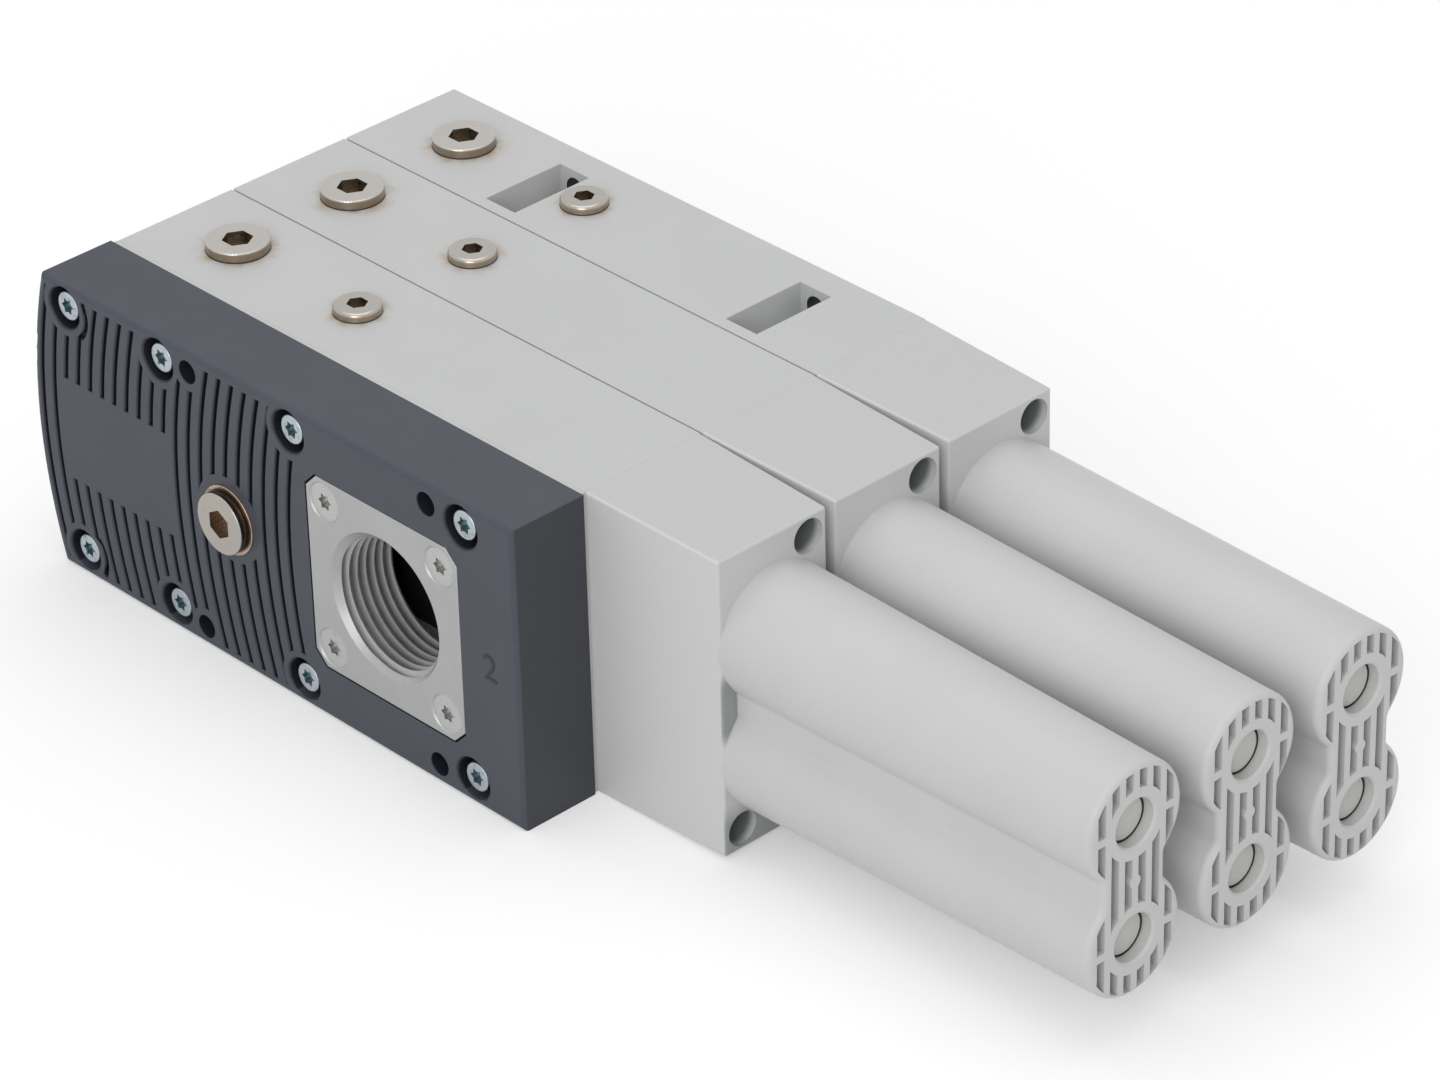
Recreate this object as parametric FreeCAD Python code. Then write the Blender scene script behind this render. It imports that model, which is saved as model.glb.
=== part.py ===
"""Multi-stage vacuum ejector: three stacked modules behind a connection plate, each with a twin silencer.

Millimetres. X runs along the modules towards the silencers, Y from the connection plate through
the stack, Z up. While it is built, the modules' left end is x = 0, the first module's front face
is y = 0 and the flat underside is z = 0. The finished pieces are moved so that the origin is the
middle of the whole ejector's footprint, on the underside.
"""
import FreeCAD, Part
import math
import os

V = FreeCAD.Vector

# Stack of modules
module_count = 3
body_height = 73.0
module_length = 149.8
module_pitch = 32.7
seam_gap = 0.4
seam_inset = 0.8
housing_edge_round = 0.3

# Connection plate and its left end, a shallow arc
plate_thickness = 19.7
plate_gasket_thickness = 1.0
plate_left_reach = 1.0
plate_right_reach = 0.6
end_arc_radius = 126.0
plate_edge_round = 1.2

# Arc grooves in the plate's front face
groove_count = 21
groove_pitch = 4.12
groove_mouth = 1.7
groove_width = 1.0
groove_flare = 0.4
groove_depth = 1.4
first_groove_inset = 2.65
groove_end_margin = 2.0
badge_first_groove = 2
badge_last_groove = 10
badge_field_height = 25.4
screw_boss_radius = 6.7
screw_ring_radius = 7.4
screw_ring_angles = (-45.0, 30.0)
hole_boss_radius = 4.6
plug_boss_radius = 10.3

# Clamping screws, which hold the plate and the modules together
clamp_screws_from_left = (6.6, 38.2, 80.7)
clamp_screw_from_right = 15.2
clamp_screw_edge = 5.8
clamp_screw_radius = 2.0
clamp_hole_radius = 2.25
clamp_head_radius = 3.4
clamp_head_height = 4.0
clamp_head_sink = 1.1
clamp_head_round = 0.4
clamp_recess_radius = 4.9
clamp_recess_chamfer = 0.5
clamp_thread_reach = 20.0

# Mounting holes through the whole stack, with nut pockets in the last module
mount_hole_from_left = 48.3
mount_hole_from_right = 25.6
mount_hole_edge = 4.7
mount_hole_radius = 2.75
nut_pocket_width = 9.4
nut_pocket_length = 22.0
nut_pocket_inset = 2.9
nut_pocket_depth = 9.3

# Vacuum port: a square metal flange with a G1 thread, let into the plate
port_from_right = 40.6
flange_side = 47.2
flange_corner_cut = 3.4
flange_thickness = 6.0
flange_gap = 0.3
flange_edge_round = 0.3
flange_seal_thickness = 0.5
hub_radius = 21.0
hub_clearance = 0.2
hub_length = 10.0
thread_core_radius = 15.15
port_chamfer = 1.85
flange_screw_spacing = 36.0
flange_screw_radius = 2.5
flange_screw_head_radius = 4.3
flange_screw_sink = 0.35
flange_screw_length = 11.0

# Screw plugs
plug_x = 21.5
small_plug_x = 61.0
front_plug_x = 59.0
plug_head_radius = 7.2
plug_head_height = 2.1
plug_head_round = 0.3
plug_seal_height = 0.3
plug_thread_radius = 4.85
plug_thread_length = 8.0
plug_socket_radius = 3.5
plug_socket_depth = 4.0
small_plug_head_radius = 5.45
small_plug_head_height = 1.85
small_plug_head_round = 0.9
small_plug_seal_height = 0.25
small_plug_thread_radius = 3.5
small_plug_thread_length = 6.0
small_plug_socket_radius = 2.4
small_plug_socket_depth = 3.0
front_plug_head_height = 2.3
front_plug_disc = 0.8
front_plug_neck_radius = 6.8
front_plug_seal_height = 0.6
front_plug_seal_radius = 8.1
seal_round = 0.2
thread_clearance = 0.05
port_drill_radius = 4.0

# Hollows of a module, from its front face
cavity_foot = 13.0
cavity_depth = 27.0
pressure_chamber_x = (12.0, 30.0)
plenum_x = (38.0, 128.0)
stage_x = ((40.0, 62.0), (66.0, 88.0), (92.0, 108.0))
duct_x = (112.0, 126.0)
plenum_depth = 8.2
ledge_width = 2.0
gallery_radius = 5.6
inlet_core_radius = 5.72
inlet_wall = 9.0
inlet_chamfer = 0.6

# Nozzle lines, two to a module
line_spacing = 27.0
inlet_nozzle_radius = 5.0
inlet_nozzle_flange_radius = 6.5
inlet_nozzle_flange_length = 2.0
inlet_nozzle_tip_length = 9.0
inlet_nozzle_tip_radius = 2.6
inlet_throat_radius = 0.8
inlet_mouth_radius = 2.4
stage_throat_radius = 2.2
stage_mouth_radius = 3.0
outlet_nozzle_radius = 6.4
outlet_nozzle_start = 95.0
outlet_throat_radius = 3.5
outlet_mouth_radius = 5.2
outlet_flange_radius = 8.4
outlet_flange_length = 2.0

# Valve plate and the rubber flaps behind it
valve_plate_thickness = 1.2
valve_plate_clearance = 0.2
window_height = 14.0
window_width = 11.0
flap_thickness = 1.0
flap_overlap = 1.5
flap_screw_radius = 1.25
flap_screw_head_radius = 2.4
flap_screw_head_height = 1.2

# Silencers: a tapered block and twin tubes, moulded in one
block_length = 37.6
block_side_taper = 1.1
block_top_taper = 0.95
block_edge_round = 0.6
tube_length = 99.6
lobe_root_radius = 15.2
lobe_end_radius = 13.2
waist_root_half_width = 11.0
waist_end_half_width = 8.7
waist_flat = 5.0
tube_end_round = 1.6
bore_radius = 7.15
chamber_end_wall = 11.6
chamber_side_wall = 3.2
silencer_gasket_thickness = 0.4

# Ribbed end of a silencer
end_wall = 1.1
end_ring_radius = 8.0
end_web = 1.8
rib_pitch = 3.8
rib_width = 1.7
end_pocket_depth = 8.0
mouth_radius = 5.35
mouth_length = 9.5
mouth_chamfer = 0.5
gate_radius = 1.5

# Silencer cores and screws
core_gap = 0.85
core_wall = 1.8
core_end_thickness = 2.0
core_face_depth = 3.0
core_nose_radius = 5.0
core_shoulder_gap = 0.8
core_seat_length = 6.0
silencer_screw_edge_y = 6.2
silencer_screw_edge_z = 5.8
silencer_recess_radius = 4.0
silencer_recess_depth = 10.0
silencer_screw_radius = 2.0
silencer_screw_head_radius = 3.4
silencer_screw_head_height = 3.2
silencer_screw_reach = 11.0
screw_socket_radius = 2.0
screw_socket_waist = 1.4
screw_socket_depth = 1.6

# Places worked out from the sizes above
mid_z = body_height / 2
module_width = module_pitch - seam_gap
clamp_screw_x = clamp_screws_from_left + (module_length - clamp_screw_from_right,)
clamp_screw_rise = mid_z - clamp_screw_edge
mount_hole_x = (mount_hole_from_left, module_length - mount_hole_from_right)
mount_hole_rise = mid_z - mount_hole_edge
port_x = module_length - port_from_right
plate_back = -plate_gasket_thickness
plate_front = plate_back - plate_thickness
plate_left = -plate_left_reach
plate_right = module_length + plate_right_reach
end_arc_rise = end_arc_radius - math.sqrt(end_arc_radius ** 2 - mid_z ** 2)
plate_leftmost = plate_left - end_arc_rise
block_end = module_length + block_length
tube_end = block_end + tube_length
stack_back = module_pitch * (module_count - 1) + module_width
flange_floor = plate_front + flange_thickness + flange_seal_thickness
line_heights = {"lower": mid_z - line_spacing / 2, "upper": mid_z + line_spacing / 2}
front_plug_reach = front_plug_seal_height + front_plug_head_height
flange_sink_radius = flange_screw_head_radius + flange_screw_sink
core_radius = bore_radius - core_gap
nut_pocket_start = module_pitch * (module_count - 1) + nut_pocket_inset
manifold_depth = cavity_foot - ledge_width - ledge_width
overall_front = plate_front - front_plug_reach
ORIGIN = V(-(plate_leftmost + tube_end) / 2, -(overall_front + stack_back) / 2, 0)


def module_front(index):
    """Y of the front face of a module, counted from 0."""
    return index * module_pitch


def module_axis(index):
    """Y of the plane through the middle of a module."""
    return module_front(index) + module_width / 2


def box(x, y, z):
    """A box from three pairs of limits."""
    return Part.makeBox(x[1] - x[0], y[1] - y[0], z[1] - z[0], V(x[0], y[0], z[0]))


def rod(radius, start, end):
    """A cylinder from one point to another."""
    way = end - start
    return Part.makeCylinder(radius, way.Length, start, way)


def cone(radius_a, radius_b, start, end):
    """A cone from one point and radius to another."""
    way = end - start
    return Part.makeCone(radius_a, radius_b, way.Length, start, way)


def hexagon(radius, start, end):
    """A hexagonal prism from one point to another, with its corners at radius."""
    way = end - start
    side = V(0, 0, 1) if abs(way.z) < abs(way.x) + abs(way.y) else V(1, 0, 0)
    turn = FreeCAD.Rotation(way, 60)
    corner = side * radius
    points = []
    for _ in range(6):
        points.append(start + corner)
        corner = turn.multVec(corner)
    return Part.Face(Part.makePolygon(points + points[:1])).extrude(way)


def star_socket(start, end):
    """The six-lobed hole of a screw's drive, from one point to another."""
    way = end - start
    side = FreeCAD.Rotation(V(0, 0, 1), way).multVec(V(screw_socket_radius, 0, 0))
    waist = screw_socket_waist / screw_socket_radius
    points = [start + FreeCAD.Rotation(way, 30 * step).multVec(side * (waist if step % 2 else 1))
              for step in range(12)]
    lobes = Part.BSplineCurve()
    lobes.interpolate(Points=points, PeriodicFlag=True)
    return Part.Face(Part.Wire([lobes.toShape()])).extrude(way)


def rounded_rim(solid, centre, radius, size):
    """Rounds the circular edge of a turned piece that has this centre and radius."""
    rims = [edge for edge in solid.Edges if isinstance(edge.Curve, Part.Circle)
            and abs(edge.Curve.Radius - radius) < 1e-4
            and (edge.Curve.Center - centre).Length < 1e-4]
    return solid.makeFillet(size, rims)


def turned(profile, start, axis):
    """A turned piece: (distance along the axis, radius) pairs swept round the axis."""
    points = [V(radius, 0, along) for along, radius in profile]
    face = Part.Face(Part.makePolygon(points + points[:1]))
    solid = face.revolve(V(0, 0, 0), V(0, 0, 1), 360)
    solid.Placement = FreeCAD.Placement(start, FreeCAD.Rotation(V(0, 0, 1), axis))
    return solid


def mount_points():
    """X and Z of the four mounting holes."""
    return [(x, mid_z + side * mount_hole_rise) for x in mount_hole_x for side in (-1, 1)]


def clamp_points():
    """X and Z of the eight clamping screws."""
    return [(x, mid_z + side * clamp_screw_rise) for x in clamp_screw_x for side in (-1, 1)]


def flange_screw_points():
    """X and Z of the four screws of the port flange."""
    half = flange_screw_spacing / 2
    return [(port_x + i * half, mid_z + k * half) for i in (-1, 1) for k in (-1, 1)]


# Connection plate

def plate_outline(y):
    """The plate's outline at a depth, with its bulged left end."""
    top_left, low_left = V(plate_left, y, body_height), V(plate_left, y, 0)
    top_right, low_right = V(plate_right, y, body_height), V(plate_right, y, 0)
    bulge = Part.Arc(top_left, V(plate_leftmost, y, mid_z), low_left).toShape()
    return Part.Wire([
        bulge,
        Part.makeLine(low_left, low_right),
        Part.makeLine(low_right, top_right),
        Part.makeLine(top_right, top_left),
    ])


def ring_groove(centre, radius, angle=360):
    """A round groove with flared edges, cut by turning its section about the centre, from +X."""
    mouth, half = groove_mouth / 2, groove_width / 2
    section = [(-mouth, 0), (-half, groove_flare), (-half, groove_depth),
               (half, groove_depth), (half, groove_flare), (mouth, 0)]
    points = [centre + V(radius + side, depth, 0) for side, depth in section]
    face = Part.Face(Part.makePolygon(points + points[:1]))
    return face.revolve(centre, V(0, -1, 0), angle)


def groove(index):
    """One arc groove, parallel to the plate's left end."""
    middle = plate_leftmost + first_groove_inset + index * groove_pitch
    whole = ring_groove(V(middle + end_arc_radius, plate_front, mid_z), end_arc_radius)
    spread = (middle - groove_mouth, middle + end_arc_rise + groove_mouth)
    height = (groove_end_margin, body_height - groove_end_margin)
    return whole.common(box(spread, (plate_front, plate_front + groove_depth), height))


def end_screw_grooves():
    """The arcs that lead a groove round the bosses of the two end screws."""
    low, high = screw_ring_angles
    rise = V(0, plate_front, clamp_screw_rise)
    upper = ring_groove(V(clamp_screw_x[0], 0, mid_z) + rise, screw_ring_radius, high - low)
    upper.rotate(V(clamp_screw_x[0], 0, mid_z) + rise, V(0, -1, 0), low)
    lower = upper.mirror(V(0, 0, mid_z), V(0, 0, 1))
    return [upper, lower]


def groove_fields():
    """What stays smooth between the grooves: bosses, the plug's seat and the badge field."""
    depth = V(0, groove_depth, 0)
    fields = [rod(screw_boss_radius, V(x, plate_front, z), V(x, plate_front, z) + depth)
              for x, z in clamp_points()]
    fields += [rod(hole_boss_radius, V(x, plate_front, z), V(x, plate_front, z) + depth)
               for x, z in mount_points()]
    seat = V(front_plug_x, plate_front, mid_z)
    fields.append(rod(plug_boss_radius, seat, seat + depth))
    field_start = plate_leftmost + first_groove_inset + (badge_first_groove - 0.5) * groove_pitch
    field_end = field_start + (badge_last_groove - badge_first_groove + 1) * groove_pitch
    fields.append(box((field_start, field_end), (plate_front, plate_front + groove_depth),
                      (mid_z - badge_field_height / 2, mid_z + badge_field_height / 2)))
    return fields


def connection_plate():
    """The dark front plate: grooved face, screw recesses, port recess and rear manifold."""
    plate = Part.Face(plate_outline(plate_front)).extrude(V(0, plate_thickness, 0))
    front = [edge for edge in plate.Edges
             if edge.BoundBox.YMax < plate_front + plate_edge_round / 2]
    plate = plate.makeFillet(plate_edge_round, front)
    grooves = Part.makeCompound([groove(index) for index in range(groove_count)])
    plate = plate.cut([grooves.cut(groove_fields())] + end_screw_grooves())
    cuts = []
    for x, z in clamp_points():
        mouth = V(x, plate_front, z)
        seat = mouth + V(0, clamp_head_sink + clamp_head_height, 0)
        lip = mouth + V(0, clamp_recess_chamfer, 0)
        cuts += [rod(clamp_recess_radius, mouth, seat), rod(clamp_hole_radius, seat, V(x, plate_back, z)),
                 cone(clamp_recess_radius + clamp_recess_chamfer, clamp_recess_radius, mouth, lip)]
    for x, z in mount_points():
        cuts.append(rod(mount_hole_radius, V(x, plate_front, z), V(x, plate_back, z)))
    cuts.append(port_recess())
    cuts.append(box(plenum_x, (plate_back - manifold_depth, plate_back), cavity_z()))
    cuts += front_plug_bore()
    return plate.cut(cuts)


def flange_outline(side, corner, y):
    """A square with cut corners round the port's axis."""
    half = side / 2
    near = half - corner
    pairs = [(-near, -half), (near, -half), (half, -near), (half, near),
             (near, half), (-near, half), (-half, near), (-half, -near)]
    points = [V(port_x + i, y, mid_z + k) for i, k in pairs]
    return Part.Face(Part.makePolygon(points + points[:1]))


def port_recess():
    """The room for the port flange, its hub and its screws."""
    recess = flange_outline(flange_side + 2 * flange_gap, flange_corner_cut, plate_front)
    recess = recess.extrude(V(0, flange_floor - plate_front, 0))
    start = V(port_x, plate_front, mid_z)
    hub = rod(hub_radius + hub_clearance, start, V(port_x, plate_back, mid_z))
    holes = [rod(flange_screw_radius, V(x, plate_front, z), V(x, plate_front + flange_screw_length, z))
             for x, z in flange_screw_points()]
    return recess.fuse([hub] + holes)


def front_plug_bore():
    """The tapped gauge port in the plate, into the manifold."""
    mouth = V(front_plug_x, plate_front, mid_z)
    tapped = mouth + V(0, plug_thread_length, 0)
    through = V(front_plug_x, plate_back, mid_z)
    return [rod(plug_thread_radius + thread_clearance, mouth, tapped),
            rod(port_drill_radius, tapped, through)]


# Vacuum port

def port_flange():
    """The square metal flange with its threaded hub."""
    plate = flange_outline(flange_side, flange_corner_cut, plate_front)
    plate = plate.extrude(V(0, flange_thickness, 0))
    front = [edge for edge in plate.Edges if edge.BoundBox.YMax < plate_front + flange_edge_round / 2]
    plate = plate.makeFillet(flange_edge_round, front)
    face = V(port_x, plate_front, mid_z)
    back = face + V(0, flange_thickness, 0)
    hub_end = back + V(0, hub_length, 0)
    flange = plate.fuse(rod(hub_radius, back, hub_end))
    mouth = cone(thread_core_radius + port_chamfer, thread_core_radius,
                 face, face + V(0, port_chamfer, 0))
    cuts = [rod(thread_core_radius, face, hub_end), mouth]
    sink = flange_sink_radius - flange_screw_radius
    for x, z in flange_screw_points():
        start = V(x, plate_front, z)
        cuts += [rod(flange_screw_radius, start, start + V(0, flange_thickness, 0)),
                 cone(flange_sink_radius, flange_screw_radius, start, start + V(0, sink, 0))]
    return flange.cut(cuts)


def port_flange_seal():
    """The flat seal between the flange and the floor of its recess."""
    start = flange_floor - flange_seal_thickness
    sheet = flange_outline(flange_side, flange_corner_cut, start)
    sheet = sheet.extrude(V(0, flange_seal_thickness, 0))
    holes = [rod(hub_radius, V(port_x, start, mid_z), V(port_x, flange_floor, mid_z))]
    holes += [rod(flange_screw_radius, V(x, start, z), V(x, flange_floor, z))
              for x, z in flange_screw_points()]
    return sheet.cut(holes)


def port_flange_screws():
    """Four countersunk screws, sunk a little below the flange's face."""
    sink = flange_screw_head_radius - flange_screw_radius
    length = flange_screw_length - flange_screw_sink
    profile = [(0, 0), (0, flange_screw_head_radius), (sink, flange_screw_radius),
               (length, flange_screw_radius), (length, 0)]
    screws = []
    for x, z in flange_screw_points():
        face = V(x, plate_front + flange_screw_sink, z)
        screw = turned(profile, face, V(0, 1, 0))
        screws.append(screw.cut(star_socket(face, face + V(0, screw_socket_depth, 0))))
    return Part.makeCompound(screws)


# Fasteners of the stack

def cap_screw(face, way, head, shank, length):
    """A cheese-head screw: head and shank are (radius, length) pairs, face is the head's top."""
    profile = [(0, 0), (0, head[0]), (head[1], head[0]), (head[1], shank), (length, shank), (length, 0)]
    screw = rounded_rim(turned(profile, face, way), face, head[0], clamp_head_round)
    return screw.cut(star_socket(face, face + way * screw_socket_depth))


def clamping_screws():
    """Eight long screws from the plate into the last module."""
    face = plate_front + clamp_head_sink
    end = module_front(module_count - 1) + clamp_thread_reach
    head = (clamp_head_radius, clamp_head_height)
    return Part.makeCompound([
        cap_screw(V(x, face, z), V(0, 1, 0), head, clamp_screw_radius, end - face)
        for x, z in clamp_points()])


def silencer_screw_points(index):
    """Y and Z of a silencer's two screws, on opposite corners of the block."""
    low = module_front(index) + silencer_screw_edge_y
    high = module_front(index) + module_width - silencer_screw_edge_y
    return [(low, silencer_screw_edge_z), (high, body_height - silencer_screw_edge_z)]


def silencer_screws():
    """The screws that hold the silencers to the modules, two to each."""
    seat = block_end - silencer_recess_depth
    face = seat + silencer_screw_head_height
    length = face - (module_length - silencer_screw_reach)
    head = (silencer_screw_head_radius, silencer_screw_head_height)
    return Part.makeCompound([
        cap_screw(V(face, y, z), V(-1, 0, 0), head, silencer_screw_radius, length)
        for index in range(module_count) for y, z in silencer_screw_points(index)])


# Screw plugs and their seals

def plug(seat, way, head, thread, socket, rim):
    """A screw plug with a round-edged head; head, thread and socket are (radius, length)."""
    profile = [(-thread[1], 0), (-thread[1], thread[0]), (0, thread[0]), (0, head[0]),
               (head[1], head[0]), (head[1], 0)]
    top = seat + way * head[1]
    body = rounded_rim(turned(profile, seat, way), top, head[0], rim)
    return body.cut(hexagon(socket[0], top - way * socket[1], top))


def seal_ring(seat, way, outer, inner, height):
    """A flat seal ring."""
    return rod(outer, seat, seat + way * height).cut(rod(inner, seat, seat + way * height))


def air_plugs():
    """Large plugs in the compressed-air ports on top of the modules."""
    seats = [V(plug_x, module_axis(index), body_height + plug_seal_height) for index in range(module_count)]
    head = (plug_head_radius - thread_clearance, plug_head_height)
    thread = (plug_thread_radius, plug_thread_length + plug_seal_height)
    socket = (plug_socket_radius, plug_socket_depth)
    return Part.makeCompound([
        plug(seat, V(0, 0, 1), head, thread, socket, plug_head_round) for seat in seats])


def air_plug_seals():
    """Seal rings under the large plugs."""
    return Part.makeCompound([
        seal_ring(V(plug_x, module_axis(index), body_height), V(0, 0, 1),
                  plug_head_radius, plug_thread_radius, plug_seal_height)
        for index in range(module_count)])


def gauge_plugs():
    """Small plugs in the gauge ports on top of the modules."""
    seats = [V(small_plug_x, module_axis(index), body_height + small_plug_seal_height)
             for index in range(module_count)]
    head = (small_plug_head_radius - thread_clearance, small_plug_head_height)
    thread = (small_plug_thread_radius, small_plug_thread_length + small_plug_seal_height)
    socket = (small_plug_socket_radius, small_plug_socket_depth)
    return Part.makeCompound([
        plug(seat, V(0, 0, 1), head, thread, socket, small_plug_head_round) for seat in seats])


def gauge_plug_seals():
    """Seal rings under the small plugs."""
    return Part.makeCompound([
        seal_ring(V(small_plug_x, module_axis(index), body_height), V(0, 0, 1),
                  small_plug_head_radius, small_plug_thread_radius, small_plug_seal_height)
        for index in range(module_count)])


def front_plug():
    """The plug in the plate's gauge port: a disc on a narrower neck."""
    way = V(0, -1, 0)
    seat = V(front_plug_x, plate_front, mid_z) + way * front_plug_seal_height
    top = front_plug_head_height
    step = top - front_plug_disc
    thread = thread_clearance - plug_thread_length
    profile = [(thread, 0), (thread, plug_thread_radius), (0, plug_thread_radius),
               (0, front_plug_neck_radius), (step, front_plug_neck_radius),
               (step, plug_head_radius), (top, plug_head_radius), (top, 0)]
    face = seat + way * top
    body = rounded_rim(turned(profile, seat, way), face, plug_head_radius, plug_head_round)
    return body.cut(hexagon(plug_socket_radius, face - way * plug_socket_depth, face))


def front_plug_seal():
    """The copper seal ring under the front plug."""
    way = V(0, -1, 0)
    seat = V(front_plug_x, plate_front, mid_z)
    ring = seal_ring(seat, way, front_plug_seal_radius, plug_thread_radius, front_plug_seal_height)
    return rounded_rim(ring, seat + way * front_plug_seal_height, front_plug_seal_radius, seal_round)


# Modules

def cavity_z():
    """Limits in height of the hollows of a module."""
    return (cavity_foot, body_height - cavity_foot)


def ledge_z():
    """Limits in height of the plenum, a ledge wider than the hollows on each side."""
    return (cavity_foot - ledge_width, body_height - cavity_foot + ledge_width)


def module_hollows(index):
    """The chambers of a module, open at its front face."""
    front = module_front(index)
    back = front + module_width
    depth = (front, front + cavity_depth)
    hollows = [box(plenum_x, (front, front + plenum_depth), ledge_z())]
    hollows += [box(stage, depth, cavity_z()) for stage in stage_x]
    if index < module_count - 1:
        hollows.append(box(duct_x, (front, back), cavity_z()))
        hollows.append(box(pressure_chamber_x, depth, cavity_z()))
        hollows.append(rod(gallery_radius, V(plug_x, depth[1], mid_z), V(plug_x, back, mid_z)))
    else:
        hollows.append(box(duct_x, depth, cavity_z()))
        hollows.append(box(pressure_chamber_x, (front, back - inlet_wall), cavity_z()))
        hollows += air_inlet(back)
    return hollows


def air_inlet(back):
    """The tapped compressed-air inlet in the last module's back."""
    mouth = V(plug_x, back, mid_z)
    lip = mouth - V(0, inlet_chamfer, 0)
    return [rod(inlet_core_radius, mouth - V(0, inlet_wall, 0), mouth),
            cone(inlet_core_radius + inlet_chamfer, inlet_core_radius, mouth, lip)]


def nozzle_bores(index):
    """The bores of a module's two nozzle lines through its walls."""
    y = module_axis(index)
    bores = []
    for z in line_heights.values():
        bores.append(rod(inlet_nozzle_radius, V(pressure_chamber_x[1], y, z), V(stage_x[0][0], y, z)))
        for left, right in zip(stage_x[:-1], stage_x[1:]):
            bores.append(cone(stage_throat_radius, stage_mouth_radius, V(left[1], y, z), V(right[0], y, z)))
        bores.append(rod(outlet_nozzle_radius, V(stage_x[-1][1], y, z), V(module_length, y, z)))
        seat = module_length - outlet_flange_length
        bores.append(rod(outlet_flange_radius, V(seat, y, z), V(module_length, y, z)))
    return bores


def top_ports(index):
    """The tapped ports in a module's top face."""
    y = module_axis(index)
    tapped = body_height - plug_thread_length
    small_tapped = body_height - small_plug_thread_length
    floor = body_height - cavity_foot
    return [
        rod(plug_thread_radius + thread_clearance, V(plug_x, y, tapped), V(plug_x, y, body_height)),
        rod(port_drill_radius, V(plug_x, y, floor), V(plug_x, y, tapped)),
        rod(small_plug_thread_radius + thread_clearance, V(small_plug_x, y, small_tapped),
            V(small_plug_x, y, body_height)),
        rod(small_plug_socket_radius, V(small_plug_x - small_plug_socket_radius, y, floor),
            V(small_plug_x - small_plug_socket_radius, y, small_tapped)),
    ]


def nut_pockets():
    """The four nut pockets of the last module, open at its top and underside."""
    depth = (nut_pocket_start, nut_pocket_start + nut_pocket_length)
    pockets = []
    for x in mount_hole_x:
        width = (x - nut_pocket_width / 2, x + nut_pocket_width / 2)
        pockets.append(box(width, depth, (body_height - nut_pocket_depth, body_height)))
        pockets.append(box(width, depth, (0, nut_pocket_depth)))
    return pockets


def module_housing(index):
    """One moulded module: an open-fronted box with chambers, ports and screw holes."""
    front, back = module_front(index), module_front(index) + module_width
    housing = box((0, module_length), (front, back), (0, body_height))
    housing = housing.makeFillet(housing_edge_round, housing.Edges)
    cuts = module_hollows(index) + nozzle_bores(index) + top_ports(index)
    last = index == module_count - 1
    for x, z in clamp_points():
        if last:
            cuts.append(rod(clamp_screw_radius, V(x, front, z), V(x, front + clamp_thread_reach, z)))
        else:
            cuts.append(rod(clamp_hole_radius, V(x, front, z), V(x, back, z)))
    cuts += [rod(mount_hole_radius, V(x, front, z), V(x, back, z)) for x, z in mount_points()]
    for y, z in silencer_screw_points(index):
        start = V(module_length - silencer_screw_reach, y, z)
        cuts.append(rod(silencer_screw_radius, start, V(module_length, y, z)))
    if last:
        cuts += nut_pockets()
    return housing.cut(cuts)


def gasket_holes(y):
    """What every gasket of the stack leaves open: chambers and screw holes."""
    holes = [box(plenum_x, y, ledge_z())]
    holes += [rod(mount_hole_radius, V(x, y[0], z), V(x, y[1], z)) for x, z in mount_points()]
    holes += [rod(clamp_hole_radius, V(x, y[0], z), V(x, y[1], z)) for x, z in clamp_points()]
    return holes


def plate_gasket():
    """The light gasket between the connection plate and the first module."""
    y = (plate_back, 0)
    sheet = box((0, module_length), y, (0, body_height))
    return sheet.cut(gasket_holes(y))


def module_gasket(index):
    """The thin gasket behind a module, set in from the edges so that the seam shows."""
    y = (module_front(index) + module_width, module_front(index + 1))
    sheet = box((seam_inset, module_length - seam_inset), y, (seam_inset, body_height - seam_inset))
    return sheet.cut(gasket_holes(y) + [box(pressure_chamber_x, y, cavity_z())])


# Inner working pieces of a module

def inlet_nozzle(index, z):
    """A turned nozzle: flange in the pressure chamber, body in the wall, cone in the first stage."""
    start = V(pressure_chamber_x[1], module_axis(index), z)
    wall = stage_x[0][0] - pressure_chamber_x[1]
    end = wall + inlet_nozzle_tip_length
    profile = [(-inlet_nozzle_flange_length, inlet_mouth_radius),
               (-inlet_nozzle_flange_length, inlet_nozzle_flange_radius),
               (0, inlet_nozzle_flange_radius), (0, inlet_nozzle_radius), (wall, inlet_nozzle_radius),
               (end, inlet_nozzle_tip_radius), (end, inlet_throat_radius)]
    return turned(profile, start, V(1, 0, 0))


def outlet_nozzle(index, z):
    """The last nozzle: a widening tube from the third stage, through the duct, to the silencer."""
    start = V(outlet_nozzle_start, module_axis(index), z)
    end = module_length - outlet_nozzle_start
    seat = end - outlet_flange_length
    profile = [(0, outlet_throat_radius), (0, outlet_nozzle_radius), (seat, outlet_nozzle_radius),
               (seat, outlet_flange_radius), (end, outlet_flange_radius), (end, outlet_mouth_radius)]
    return turned(profile, start, V(1, 0, 0))


def valve_windows():
    """X and Z limits of the valve plate's windows, two to each stage."""
    windows = []
    for stage in stage_x:
        middle = (stage[0] + stage[1]) / 2
        for z in line_heights.values():
            windows.append(((middle - window_width / 2, middle + window_width / 2),
                            (z - window_height / 2, z + window_height / 2)))
    return windows


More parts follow.
